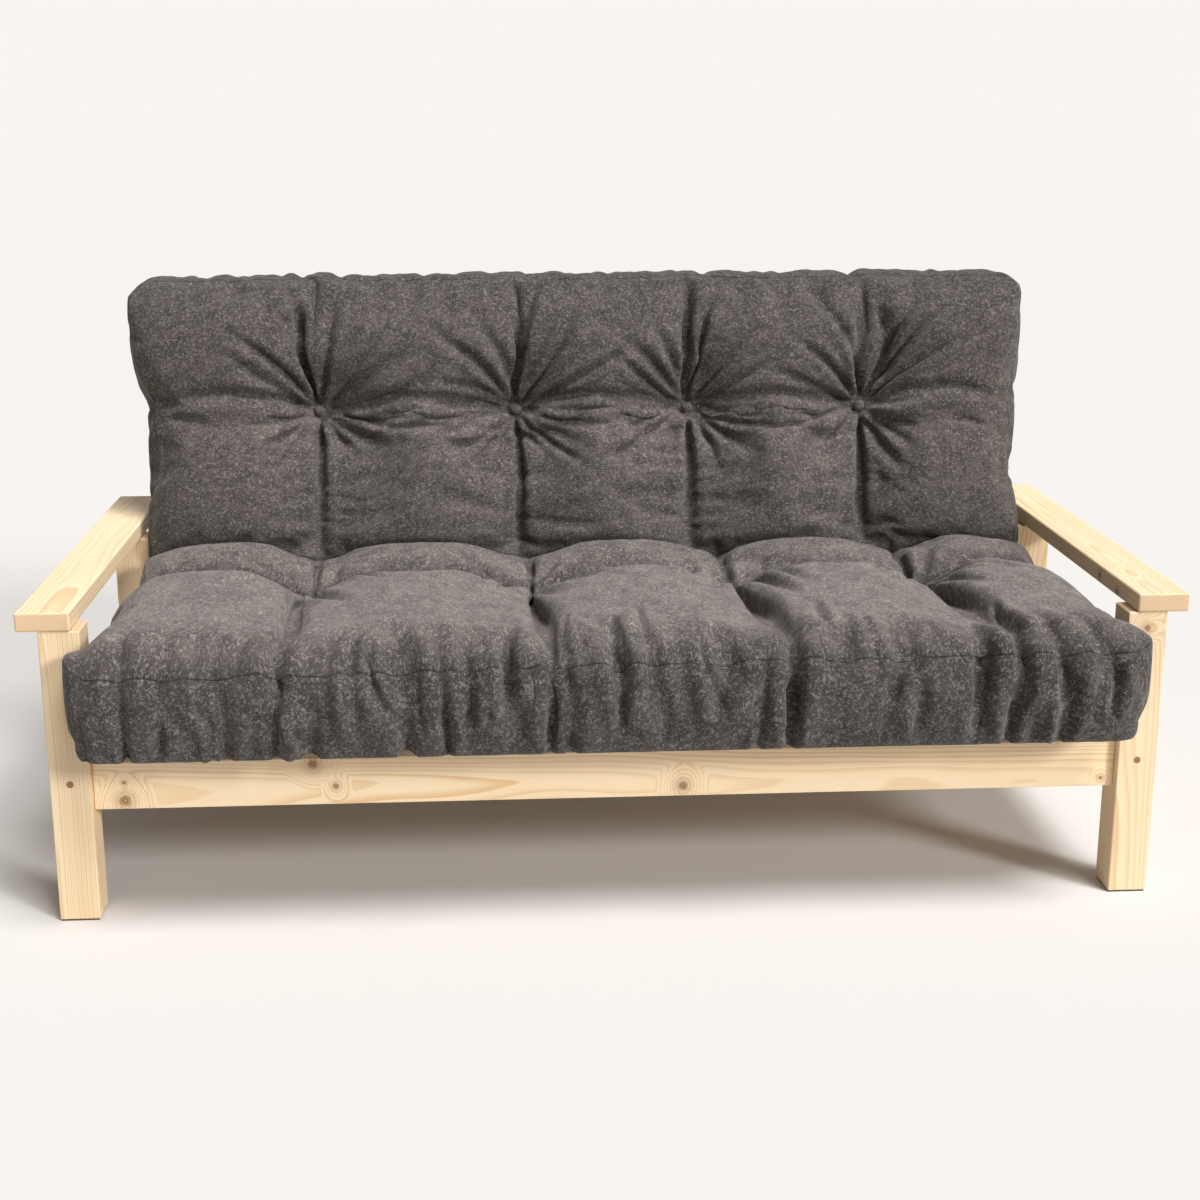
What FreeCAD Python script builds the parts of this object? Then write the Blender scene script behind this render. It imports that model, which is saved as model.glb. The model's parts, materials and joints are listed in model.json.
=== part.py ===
# A futon sofa: a pine arm frame, a slatted seat deck that slides forward on it, a slatted back deck hinged
# to the seat deck, and one tufted mattress folded over both decks.
# Millimetres. +X is to the right as seen from the front, +Y to the back, +Z up. The origin is on the floor
# under the middle of the sofa, with the seat pushed in and the back upright.
import FreeCAD
import Part
import math
import os
from collections import namedtuple

Vector = FreeCAD.Vector

# Arm frame
overall_width = 2100.0
arm_height = 585.0
arm_width = 95.0
arm_thickness = 34.5
arm_length = 1003.0
arm_nose = 3.0
arm_edge_radius = 4.0
post_side = 73.0
post_inset = 37.5
post_edge_radius = 3.0
rear_post_setback = 715.0
foot_pad_thickness = 3.0
foot_pad_inset = 3.0

# Rails and what the decks slide on
rail_bottom = 209.0
rail_height = 91.0
rail_thickness = 34.0
rail_edge_radius = 3.0
front_rail_setback = 17.0
centre_rail_width = 45.0
centre_rail_height = 70.0
runner_height = 40.0
glide_width = 24.0
glide_thickness = 1.7
glide_clearance = 0.3
glide_end_margin = 40.0

# Fasteners
bolt_radius = 4.0
bolt_clearance = 0.4
bolt_head_radius = 6.5
bolt_head_height = 8.0
bolt_tail = 4.0
side_bolt_height = 265.0
cross_bolt_height = 236.0
plug_length = 9.0
plug_fit = 0.1
nut_radius = 6.0
nut_setback = 36.0
nut_end_gap = 5.0
dowel_radius = 6.0
dowel_length = 50.0
dowel_fit = 0.1
arm_dowel_pitch = 36.0
side_dowel_height = 230.0
cross_dowel_height = 272.0
centre_dowel_pitch = 22.0
screw_radius = 2.0
screw_head_radius = 4.0
screw_fit = 0.1
slat_screw_bite = 26.0
leaf_screw_bite = 28.0
stop_screw_bite = 24.0
stop_screw_rise = -11.0
runner_screw_bite = 20.0
runner_screw_count = 3
runner_screw_margin = 70.0

# Decks
hinge_setback = 835.0
back_angle = 78.0
slide_travel = 450.0
deck_front_setback = 12.0
back_deck_length = 715.0
bearer_width = 40.0
bearer_height = 40.0
bearer_post_gap = 6.0
bearer_edge_radius = 2.0
slat_width = 70.0
slat_thickness = 16.0
slat_edge_radius = 3.0
slat_post_gap = 9.5
slat_hinge_gap = 50.0
seat_slat_count = 7
back_slat_count = 6
stop_width = 34.0
stop_length = 60.0
stop_drop = 35.0
stop_gap = 0.5
stop_side_gap = 1.5

# Ratchet hinges and the centre pivot
leaf_thickness = 4.0
leaf_width = 26.0
leaf_length = 210.0
leaf_head_radius = 19.5
leaf_gap = 0.5
leaf_screw_pitch = 60.0
bearer_hinge_gap = 35.0
wheel_thickness = 5.0
wheel_radius = 17.0
wheel_tooth_depth = 3.0
wheel_teeth = 18
pawl_lift = 1.0
pawl_length = 22.0
pawl_width = 12.0
pawl_nose_width = 3.0
pin_radius = 6.0
pin_head_radius = 10.0
pin_head_height = 4.0
running_fit = 0.05
pivot_radius = 5.0
pivot_gap = 1.5
hex_radius = 9.0
hex_height = 7.0

# Mattress
lip_overhang = 115.0
lip_half_width = 955.0
lip_droop = 20.0
lip_seam_height = 137.0
back_length = 752.0
back_seam_height = 137.0
mattress_post_gap = 7.5
mattress_clearance = 0.3
mitre_gap = 0.5
crown_height = 200.0
shoulder_height = 172.0
groove_height = 156.0
tuft_height = 90.0
tuft_row_drop = 16.0
side_draw_in = 5.0
side_bulge = 1.5
bottom_tuck = 14.0
end_round = 40.0
rows_per_swell = 3
cover_thickness = 4.0
core_clearance = 0.4
seat_tuft_run = 390.0
back_tuft_run = 467.0
seat_tuft_xs = (-575.0, -135.0, 270.0, 650.0)
back_tuft_xs = (-573.0, -155.0, 215.0, 593.0)
button_radius = 9.0
button_height = 7.0
button_edge_radius = 3.0
button_fit = 0.4
gather_height = 11.0
gather_rim = 3.0
washer_thickness = 2.5
twine_radius = 1.2
twine_fit = 0.2

# Places that follow from the sizes
half_width = overall_width / 2
post_outer = half_width - post_inset
post_inner = post_outer - post_side
post_middle = post_outer - post_side / 2
arm_bottom = arm_height - arm_thickness
arm_reach = arm_length - arm_nose
front_line = (lip_overhang - arm_reach) / 2
rear_line = front_line + rear_post_setback
rail_top = rail_bottom + rail_height
front_rail_middle = front_line + front_rail_setback + rail_thickness / 2
rear_rail_middle = rear_line + post_side / 2
hinge_y = front_line + hinge_setback
deck_bottom = rail_top + glide_thickness + glide_clearance
hinge_z = deck_bottom + bearer_height / 2
seat_deck_length = hinge_setback - deck_front_setback
slat_base = bearer_height / 2
slat_top = slat_base + slat_thickness
mattress_base = slat_top + mattress_clearance
slat_half_length = post_inner - slat_post_gap
bearer_outer = post_inner - bearer_post_gap
bearer_inner = bearer_outer - bearer_width
runner_inner = bearer_inner + stop_side_gap
runner_outer = post_middle - rail_thickness / 2
wheel_outer = bearer_inner - leaf_thickness
wheel_inner = wheel_outer - wheel_thickness
back_leaf_outer = wheel_inner - leaf_gap
back_bearer_outer = back_leaf_outer - leaf_thickness
stop_front_run = hinge_setback - front_rail_setback - rail_thickness - slide_travel - stop_gap
stop_back_run = stop_front_run - stop_length
seat_length = hinge_setback + lip_overhang
body_half_width = post_inner - mattress_post_gap
mitre_angle = (180.0 - back_angle) / 2
button_base = tuft_height + gather_height

SIDES = (("left", -1), ("right", 1))
SEAT = -1
BACK = 1

# A place to drive a fastener: a point on the outer face, the way in, and how deep it goes
Fixing = namedtuple("Fixing", "start direction depth")

# One cross section of the mattress, with heights above the slats
Row = namedtuple("Row", "run half_width bottom seam groove crest")

nodes = {}


# Plain shapes

def block(xs, ys, zs, radius=0.0):
    """A box between the given limits, with its edges rounded."""
    low = Vector(min(xs), min(ys), min(zs))
    high = Vector(max(xs), max(ys), max(zs))
    size = high - low
    shape = Part.makeBox(size.x, size.y, size.z, low)
    if radius:
        wall_limit = 0.45 * min(size.x, size.y, size.z)
        shape = shape.makeFillet(min(radius, wall_limit), shape.Edges)
    return shape


def rod(start, direction, length, radius):
    return Part.makeCylinder(radius, length, start, direction)


def centred_rod(middle, direction, length, radius):
    return rod(middle - direction * (length / 2), direction, length, radius)


def prism_along_x(points, x_start, x_end):
    """A prism whose outline is given as (y, z) points."""
    corners = [Vector(min(x_start, x_end), y, z) for y, z in points]
    face = Part.Face(Part.makePolygon(corners + corners[:1]))
    return face.extrude(Vector(abs(x_end - x_start), 0, 0))


def round_outline(count, radius_of):
    """Points around the hinge axis, the radius of each given by its number."""
    turns = [2 * math.pi * i / count for i in range(count)]
    return [(radius_of(i) * math.cos(t), radius_of(i) * math.sin(t)) for i, t in enumerate(turns)]


def bored(shape, tools):
    """The shape with every hole that reaches it cut out."""
    near = [tool for tool in tools if tool.BoundBox.intersect(shape.BoundBox)]
    if not near:
        return shape
    return shape.cut(near)


def group(shapes):
    return Part.makeCompound(shapes)


# Screws, bolts and dowels

def screw(fixing, fit=0.0):
    """A countersunk wood screw with its head flush, or its hole when a fit is given."""
    head_depth = screw_head_radius - screw_radius
    head = Part.makeCone(screw_head_radius + fit, screw_radius + fit, head_depth, fixing.start, fixing.direction)
    shank = rod(fixing.start, fixing.direction, fixing.depth + fit, screw_radius + fit)
    return head.fuse(shank).removeSplitter()


def screw_holes(fixings):
    return [screw(fixing, screw_fit) for fixing in fixings]


def along(fixing, distance):
    return fixing.start + fixing.direction * distance


def bolt(fixing):
    head = rod(along(fixing, plug_length), fixing.direction, bolt_head_height, bolt_head_radius)
    shank = rod(along(fixing, plug_length), fixing.direction, fixing.depth - plug_length, bolt_radius)
    return head.fuse(shank)


def bolt_hole(fixing):
    pocket_depth = plug_length + bolt_head_height
    pocket = rod(fixing.start, fixing.direction, pocket_depth, bolt_head_radius + plug_fit)
    shank = rod(fixing.start, fixing.direction, fixing.depth + bolt_clearance, bolt_radius + bolt_clearance)
    return pocket.fuse(shank)


def bolt_plug(fixing):
    return rod(fixing.start, fixing.direction, plug_length, bolt_head_radius)


def nut_middle(fixing):
    return along(fixing, post_side + nut_setback)


def barrel_nut(fixing, hidden_way):
    body = centred_rod(nut_middle(fixing), hidden_way, rail_thickness - 2 * nut_end_gap, nut_radius)
    thread = centred_rod(nut_middle(fixing), fixing.direction, 4 * nut_radius, bolt_radius + running_fit)
    return body.cut(thread)


def nut_hole(fixing, hidden_way):
    """The nut's hole, drilled from the rail's hidden face."""
    reach = rail_thickness / 2 - nut_end_gap
    start = nut_middle(fixing) - hidden_way * reach
    return rod(start, hidden_way, reach + rail_thickness / 2, nut_radius + dowel_fit)


def dowel(middle, direction, fit=0.0):
    return centred_rod(middle, direction, dowel_length + 2 * fit, dowel_radius + fit)


# Frame

def frame_bolts():
    """Bolts through the posts into the rails' ends, each with the way to the rail's hidden face."""
    depth = post_side + nut_setback + nut_radius + bolt_tail
    ends = ((front_line, 1, front_rail_middle, 1), (rear_line + post_side, -1, rear_rail_middle, -1))
    fixings = []
    for _, sign in SIDES:
        for face_y, way_y, rail_y, hidden_y in ends:
            side_start = Vector(sign * post_middle, face_y, side_bolt_height)
            cross_start = Vector(sign * post_outer, rail_y, cross_bolt_height)
            fixings.append((Fixing(side_start, Vector(0, way_y, 0), depth), Vector(-sign, 0, 0)))
            fixings.append((Fixing(cross_start, Vector(-sign, 0, 0), depth), Vector(0, hidden_y, 0)))
    return fixings


def frame_dowels():
    """Dowels between posts and arms, posts and rails, and rails and the centre rail."""
    places = []
    for _, sign in SIDES:
        for post_y, joint_y in ((front_line, front_line + post_side), (rear_line, rear_line)):
            for offset in (-arm_dowel_pitch / 2, arm_dowel_pitch / 2):
                arm_joint = Vector(sign * post_middle, post_y + post_side / 2 + offset, arm_bottom)
                places.append((arm_joint, Vector(0, 0, 1)))
            places.append((Vector(sign * post_middle, joint_y, side_dowel_height), Vector(0, 1, 0)))
        for rail_y in (front_rail_middle, rear_rail_middle):
            places.append((Vector(sign * post_inner, rail_y, cross_dowel_height), Vector(1, 0, 0)))
        for joint_y in (front_rail_middle + rail_thickness / 2, rear_rail_middle - rail_thickness / 2):
            middle_height = rail_top - centre_rail_height / 2
            places.append((Vector(sign * centre_dowel_pitch / 2, joint_y, middle_height), Vector(0, 1, 0)))
    return places


def stop_pegs():
    """Pegs in the runners that the travel stops meet when the seat is pushed in."""
    peg_y = hinge_y - stop_back_run + stop_gap + dowel_radius
    peg_z = rail_top - runner_height / 2
    return [(Vector(sign * runner_inner, peg_y, peg_z), Vector(1, 0, 0)) for _, sign in SIDES]


def runner_screws():
    fixings = []
    first = front_line + post_side + runner_screw_margin
    last = rear_line - runner_screw_margin
    depth = runner_outer - runner_inner + runner_screw_bite
    for _, sign in SIDES:
        for i in range(runner_screw_count):
            y = first + (last - first) * i / (runner_screw_count - 1)
            start = Vector(sign * runner_inner, y, rail_top - runner_height / 2)
            fixings.append(Fixing(start, Vector(sign, 0, 0), depth))
    return fixings


def glide_strips():
    rail_reach = post_inner - glide_end_margin
    runner_ys = (front_line + post_side, rear_line)
    bearer_middle = (bearer_inner + bearer_outer) / 2
    centre_ys = (front_rail_middle + rail_thickness / 2, rear_rail_middle - rail_thickness / 2)
    half = glide_width / 2
    heights = (rail_top, rail_top + glide_thickness)
    strips = [block((-half, half), centre_ys, heights)]
    for y in (front_rail_middle, rear_rail_middle):
        strips.append(block((-rail_reach, rail_reach), (y - half, y + half), heights))
    for _, sign in SIDES:
        x = sign * bearer_middle
        strips.append(block((x - half, x + half), runner_ys, heights))
    return strips


def build_frame():
    bolts = frame_bolts()
    dowels = frame_dowels()
    pegs = stop_pegs()
    runner_fixings = runner_screws()
    holes = [bolt_hole(fixing) for fixing, _ in bolts]
    holes += [nut_hole(fixing, hidden) for fixing, hidden in bolts]
    holes += [dowel(middle, direction, dowel_fit) for middle, direction in dowels + pegs]
    holes += screw_holes(runner_fixings)
    rail_heights = (rail_bottom, rail_top)
    pads = []
    for side, sign in SIDES:
        post_xs = (sign * post_inner, sign * post_outer)
        for end, y in (("front", front_line), ("rear", rear_line)):
            post = block(post_xs, (y, y + post_side), (foot_pad_thickness, arm_bottom), post_edge_radius)
            nodes[f"{end}_post_{side}"] = bored(post, holes)
            pad_xs = (sign * (post_inner + foot_pad_inset), sign * (post_outer - foot_pad_inset))
            pad_ys = (y + foot_pad_inset, y + post_side - foot_pad_inset)
            pads.append(block(pad_xs, pad_ys, (0.0, foot_pad_thickness)))
        arm_xs = (sign * (half_width - arm_width), sign * half_width)
        arm_ys = (front_line - arm_nose, front_line + arm_reach)
        arm = block(arm_xs, arm_ys, (arm_bottom, arm_height), arm_edge_radius)
        nodes[f"arm_board_{side}"] = bored(arm, holes)
        side_xs = (sign * runner_outer, sign * (runner_outer + rail_thickness))
        side_rail = block(side_xs, (front_line + post_side, rear_line), rail_heights, rail_edge_radius)
        nodes[f"side_rail_{side}"] = bored(side_rail, holes)
        runner_xs = (sign * runner_inner, sign * runner_outer)
        runner = block(runner_xs, (front_line + post_side, rear_line), (rail_top - runner_height, rail_top))
        nodes[f"deck_runner_{side}"] = bored(runner, holes)
    for end, middle in (("front", front_rail_middle), ("rear", rear_rail_middle)):
        rail_ys = (middle - rail_thickness / 2, middle + rail_thickness / 2)
        rail = block((-post_inner, post_inner), rail_ys, rail_heights, rail_edge_radius)
        nodes[f"{end}_rail"] = bored(rail, holes)
    centre_ys = (front_rail_middle + rail_thickness / 2, rear_rail_middle - rail_thickness / 2)
    centre_xs = (-centre_rail_width / 2, centre_rail_width / 2)
    centre_rail = block(centre_xs, centre_ys, (rail_top - centre_rail_height, rail_top))
    nodes["centre_rail"] = bored(centre_rail, holes)
    nodes["glide_strips"] = group(glide_strips())
    nodes["foot_pads"] = group(pads)
    nodes["frame_bolts"] = group([bolt(fixing) for fixing, _ in bolts])
    nodes["barrel_nuts"] = group([barrel_nut(fixing, hidden) for fixing, hidden in bolts])
    nodes["bolt_plugs"] = group([bolt_plug(fixing) for fixing, _ in bolts])
    nodes["frame_dowels"] = group([dowel(middle, direction) for middle, direction in dowels + pegs])
    nodes["runner_screws"] = group([screw(fixing) for fixing in runner_fixings])


# Decks, drawn flat with the hinge axis at the origin: the seat runs to -Y from it and the back to +Y

def placed(way, shape):
    """A deck's shape, moved from the flat drawing to its place on the sofa."""
    moved = shape.copy()
    if way == BACK:
        moved.rotate(Vector(0, 0, 0), Vector(1, 0, 0), back_angle)
    moved.translate(Vector(0, hinge_y, hinge_z))
    return moved


def deck_block(way, xs, runs, rises, radius=0.0):
    return block(xs, (way * runs[0], way * runs[1]), rises, radius)


def slat_middles(count, length):
    first = slat_hinge_gap + slat_width / 2
    last = length - slat_width / 2
    return [first + (last - first) * i / (count - 1) for i in range(count)]


def slat_fixings(way, middles, bearer_xs):
    depth = slat_thickness + slat_screw_bite
    down = Vector(0, 0, -1)
    return [Fixing(Vector(x, way * run, slat_top), down, depth) for run in middles for x in bearer_xs]


def add_slats(name, way, middles, holes):
    for i, middle in enumerate(middles):
        runs = (middle - slat_width / 2, middle + slat_width / 2)
        slat = deck_block(way, (-slat_half_length, slat_half_length), runs, (slat_base, slat_top), slat_edge_radius)
        nodes[f"{name}_slat_{i + 1}"] = placed(way, bored(slat, holes))


def straight_bearer(way, xs, length, holes):
    rises = (-bearer_height / 2, bearer_height / 2)
    return bored(deck_block(way, xs, (bearer_hinge_gap, length), rises, bearer_edge_radius), holes)


def pivoted_bearer(way, xs, length, holes):
    """A bearer with a round end on the hinge axis and a hole for the pivot bolt."""
    rises = (-bearer_height / 2, bearer_height / 2)
    beam = deck_block(way, xs, (0.0, length), rises)
    width = max(xs) - min(xs)
    end = rod(Vector(min(xs), 0, 0), Vector(1, 0, 0), width, bearer_height / 2)
    hole = rod(Vector(min(xs), 0, 0), Vector(1, 0, 0), width, pivot_radius + running_fit)
    return bored(beam.fuse(end).removeSplitter().cut(hole), holes)


def leaf_runs():
    first = bearer_hinge_gap + leaf_screw_pitch / 2
    count = int((leaf_length - first) // leaf_screw_pitch) + 1
    return [first + leaf_screw_pitch * i for i in range(count)]


def leaf_fixings(way, face_x, into):
    """Screws through a hinge leaf on both sides of the sofa; into is the way of the wood on the right."""
    depth = leaf_thickness + leaf_screw_bite
    fixings = []
    for _, sign in SIDES:
        for run in leaf_runs():
            start = Vector(sign * face_x, way * run, 0)
            fixings.append(Fixing(start, Vector(sign * into, 0, 0), depth))
    return fixings


def hinge_leaf(way, xs, holes):
    bar = deck_block(way, xs, (0.0, leaf_length), (-leaf_width / 2, leaf_width / 2))
    head = rod(Vector(min(xs), 0, 0), Vector(1, 0, 0), leaf_thickness, leaf_head_radius)
    hole = rod(Vector(min(xs), 0, 0), Vector(1, 0, 0), leaf_thickness, pin_radius + running_fit)
    return bored(bar.fuse(head).removeSplitter().cut(hole), holes)


def ratchet_wheel(sign):
    def tooth_radius(i):
        return wheel_radius - wheel_tooth_depth * (i % 2)

    outline = round_outline(2 * wheel_teeth, tooth_radius)
    wheel = prism_along_x(outline, sign * wheel_inner, sign * wheel_outer)
    bore_start = Vector(min(sign * wheel_inner, sign * wheel_outer), 0, 0)
    return wheel.cut(rod(bore_start, Vector(1, 0, 0), wheel_thickness, pin_radius + running_fit))


def ratchet_pawl(sign):
    """The pawl, lifted clear of the wheel as it is while the back is being folded."""
    tip = wheel_radius + pawl_lift
    heel = tip + pawl_length
    shoulder = tip + pawl_width / 2
    nose = pawl_nose_width / 2
    half = pawl_width / 2
    outline = [(tip, -nose), (tip, nose), (shoulder, half), (heel, half), (heel, -half), (shoulder, -half)]
    return prism_along_x(outline, sign * back_leaf_outer, sign * (wheel_outer - leaf_gap))


def hinge_pin(sign):
    """A riveted pin: its outer head on the seat leaf, its inner head just clear of the back leaf."""
    inner = back_bearer_outer - leaf_gap - pin_head_height
    outer = bearer_inner + pin_head_height
    axis = Vector(sign, 0, 0)
    shank = rod(Vector(sign * inner, 0, 0), axis, outer - inner, pin_radius)
    inner_head = rod(Vector(sign * inner, 0, 0), axis, pin_head_height, pin_head_radius)
    outer_head = rod(Vector(sign * bearer_inner, 0, 0), axis, pin_head_height, pin_head_radius)
    return shank.fuse([inner_head, outer_head]).removeSplitter()


def back_centre_xs(sign):
    inner = bearer_width / 2 + pivot_gap
    return (sign * inner, sign * (inner + bearer_width))


def pivot_bolt():
    reach = max(back_centre_xs(1)) + leaf_gap
    hexagon = round_outline(6, lambda i: hex_radius)
    head = prism_along_x(hexagon, -reach - hex_height, -reach)
    shank = rod(Vector(-reach, 0, 0), Vector(1, 0, 0), 2 * reach + hex_height, pivot_radius)
    return head.fuse(shank)


def pivot_nut():
    reach = max(back_centre_xs(1)) + leaf_gap
    hexagon = round_outline(6, lambda i: hex_radius)
    nut = prism_along_x(hexagon, reach, reach + hex_height)
    return nut.cut(rod(Vector(reach, 0, 0), Vector(1, 0, 0), hex_height, pivot_radius + running_fit))


def stop_fixings():
    depth = stop_width + stop_screw_bite
    run_middle = (stop_front_run + stop_back_run) / 2
    fixings = []
    for _, sign in SIDES:
        for offset in (-stop_length / 4, stop_length / 4):
            start = Vector(sign * (bearer_inner - stop_width), SEAT * (run_middle + offset), stop_screw_rise)
            fixings.append(Fixing(start, Vector(sign, 0, 0), depth))
    return fixings


def build_seat_deck():
    outer_middle = (bearer_inner + bearer_outer) / 2
    middles = slat_middles(seat_slat_count, seat_deck_length)
    fixings = slat_fixings(SEAT, middles, (-outer_middle, 0.0, outer_middle))
    fixings += leaf_fixings(SEAT, wheel_outer, 1)
    fixings += stop_fixings()
    holes = screw_holes(fixings)
    wheels = []
    pins = []
    stops = []
    for side, sign in SIDES:
        bearer_xs = (sign * bearer_inner, sign * bearer_outer)
        bearer = straight_bearer(SEAT, bearer_xs, seat_deck_length, holes)
        nodes[f"seat_bearer_{side}"] = placed(SEAT, bearer)
        leaf = hinge_leaf(SEAT, (sign * wheel_outer, sign * bearer_inner), holes)
        nodes[f"seat_hinge_leaf_{side}"] = placed(SEAT, leaf)
        wheels.append(placed(SEAT, ratchet_wheel(sign)))
        pins.append(placed(SEAT, hinge_pin(sign)))
        stop_xs = (sign * (bearer_inner - stop_width), sign * bearer_inner)
        stop_rises = (-bearer_height / 2 - stop_drop, bearer_height / 2)
        stop = deck_block(SEAT, stop_xs, (stop_back_run, stop_front_run), stop_rises)
        stops.append(placed(SEAT, bored(stop, holes)))
    centre_xs = (-bearer_width / 2, bearer_width / 2)
    nodes["seat_bearer_centre"] = placed(SEAT, pivoted_bearer(SEAT, centre_xs, seat_deck_length, holes))
    add_slats("seat", SEAT, middles, holes)
    nodes["travel_stops"] = group(stops)
    nodes["ratchet_wheels"] = group(wheels)
    nodes["hinge_pins"] = group(pins)
    nodes["centre_pivot_bolt"] = placed(SEAT, pivot_bolt())
    nodes["centre_pivot_nut"] = placed(SEAT, pivot_nut())
    nodes["seat_screws"] = group([placed(SEAT, screw(fixing)) for fixing in fixings])


def build_back_deck():
    outer_middle = back_bearer_outer - bearer_width / 2
    centre_middle = sum(back_centre_xs(1)) / 2
    middles = slat_middles(back_slat_count, back_deck_length)
    bearer_middles = (-outer_middle, -centre_middle, centre_middle, outer_middle)
    fixings = slat_fixings(BACK, middles, bearer_middles)
    fixings += leaf_fixings(BACK, back_leaf_outer, -1)
    holes = screw_holes(fixings)
    pawls = []
    for side, sign in SIDES:
        bearer_xs = (sign * (back_bearer_outer - bearer_width), sign * back_bearer_outer)
        bearer = straight_bearer(BACK, bearer_xs, back_deck_length, holes)
        nodes[f"back_bearer_{side}"] = placed(BACK, bearer)
        centre_bearer = pivoted_bearer(BACK, back_centre_xs(sign), back_deck_length, holes)
        nodes[f"back_bearer_centre_{side}"] = placed(BACK, centre_bearer)
        leaf = hinge_leaf(BACK, (sign * back_bearer_outer, sign * back_leaf_outer), holes)
        nodes[f"back_hinge_leaf_{side}"] = placed(BACK, leaf)
        pawls.append(placed(BACK, ratchet_pawl(sign)))
    add_slats("back", BACK, middles, holes)
    nodes["ratchet_pawls"] = group(pawls)
    nodes["back_screws"] = group([placed(BACK, screw(fixing)) for fixing in fixings])


# Mattress, one half on each deck, mitred where it folds

def section_wire(way, row, tuft_xs):
    """The closed outline of one row: flat below, bulging sides, and an arched pillow between tuft lines."""
    def point(x, height):
        return Vector(x, way * row.run, mattress_base + height)

    half = row.half_width
    foot = half - bottom_tuck
    bulge_height = (row.bottom + row.seam) / 2
    xs = [-half] + list(tuft_xs) + [half]
    heights = [row.seam] + [row.groove] * len(tuft_xs) + [row.seam]
    edges = [Part.LineSegment(point(-foot, row.bottom), point(foot, row.bottom))]
    edges.append(Part.Arc(point(foot, row.bottom), point(half + side_bulge, bulge_height), point(half, row.seam)))
    for i in range(len(xs) - 1, 0, -1):
        top = point((xs[i] + xs[i - 1]) / 2, row.crest)
        edges.append(Part.Arc(point(xs[i], heights[i]), top, point(xs[i - 1], heights[i - 1])))
    edges.append(Part.Arc(point(-half, row.seam), point(-half - side_bulge, bulge_height), point(-foot, row.bottom)))
    return Part.Wire([edge.toShape() for edge in edges])


def inset_row(row, inset, is_end):
    run = row.run - inset if is_end else row.run
    return Row(run, row.half_width - inset, row.bottom + inset, row.seam - inset, row.groove - inset,
               row.crest - inset)


def plump_row(run):
    return Row(run, body_half_width, 0.0, shoulder_height, groove_height, crown_height)


def tuft_row(run):
    drawn_half = body_half_width - side_draw_in
    return Row(run, drawn_half, 0.0, shoulder_height - tuft_row_drop, tuft_height, crown_height - tuft_row_drop)


def eased(rows):
    """The rows with more of them in between, so that the swell rises and falls smoothly along the run."""
    result = [rows[0]]
    for before, after in zip(rows, rows[1:]):
        for i in range(1, rows_per_swell + 1):
            share = i / rows_per_swell
            ease = (1 - math.cos(math.pi * share)) / 2
            run = before.run + (after.run - before.run) * share
            rest = [a + (b - a) * ease for a, b in zip(before[1:], after[1:])]
            result.append(Row(run, *rest))
    return result


def end_rows(length, half_width_there, droop, seam):
    """Three rows that round off the free end: its last full section, its seam and its face."""
    full_seam = (shoulder_height + seam) / 2
    full_crest = (crown_height + seam) / 2
    full_groove = (groove_height + seam) / 2
    face_drop = end_round / 2
    full = Row(length - end_round - face_drop, half_width_there, -droop / 2, full_seam, full_groove, full_crest)
    edge = Row(length - end_round / 4, half_width_there, -droop, seam, seam - side_draw_in, seam + side_draw_in)
    face = Row(length, half_width_there - face_drop, face_drop - droop, seam - face_drop,
               seam - face_drop - side_draw_in, seam - face_drop + side_draw_in)
    return [full, edge, face]


def seat_rows():
    post_run = hinge_setback
    front_crest_run = (seat_tuft_run + post_run) / 2
    between_posts = Row(post_run - side_draw_in, body_half_width, 0.0, (shoulder_height + lip_seam_height) / 2,
                        groove_height, crown_height - tuft_row_drop)
    swells = [plump_row(0.0), plump_row(seat_tuft_run / 2), tuft_row(seat_tuft_run), plump_row(front_crest_run)]
    return eased(swells + [between_posts]) + end_rows(seat_length, lip_half_width, lip_droop, lip_seam_height)


def back_rows():
    top_crest_run = (back_tuft_run + back_length) / 2
    swells = [plump_row(0.0), plump_row(back_tuft_run / 2), tuft_row(back_tuft_run), plump_row(top_crest_run)]
    return eased(swells) + end_rows(back_length, body_half_width, 0.0, back_seam_height)


def mitre_tool(way, gap):
    """All that lies past the fold's mitre plane, which goes through the hinge axis."""
    slope = math.tan(math.radians(mitre_angle))
    offset = gap / math.sin(math.radians(mitre_angle))
    low = -crown_height
    high = 2 * crown_height
    outline = [(-2 * crown_height, low), (low / slope + offset, low), (high / slope + offset, high),
               (-2 * crown_height, high)]
    return prism_along_x([(way * run, rise) for run, rise in outline], -overall_width, overall_width)


def mattress_form(way, rows, tuft_xs, inset):
    wires = []
    for i, row in enumerate(rows):
        is_end = i == len(rows) - 1
        wires.append(section_wire(way, inset_row(row, inset, is_end), tuft_xs))
    form = Part.makeLoft(wires, True, True)
    return form.cut(mitre_tool(way, mitre_gap + inset))


def tuft_tools(bases):
    """Pockets for the buttons and felt washers, and the holes for the twine between them."""
    up = Vector(0, 0, 1)
    tools = []
    for base in bases:
        tools.append(rod(base + up * button_base, up, crown_height, button_radius + button_fit))
        tools.append(rod(base, up, washer_thickness, button_radius + button_fit))
        tools.append(rod(base, up, button_base, twine_radius + twine_fit))
    return tools


def gathers(bases, hollow):
    """Cloth drawn together under each button, on top of the core."""
    up = Vector(0, 0, 1)
    radius = button_radius + gather_rim
    height = button_base - tuft_height + cover_thickness + button_height / 2
    return [rod(base + up * (tuft_height - cover_thickness), up, height, radius).cut(hollow) for base in bases]


def tuft_button(base):
    button = rod(base, Vector(0, 0, 1), button_height, button_radius)
    rim = [edge for edge in button.Edges if edge.BoundBox.ZMin > base.z + button_height / 2]
    return button.makeFillet(button_edge_radius, rim)


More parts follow.
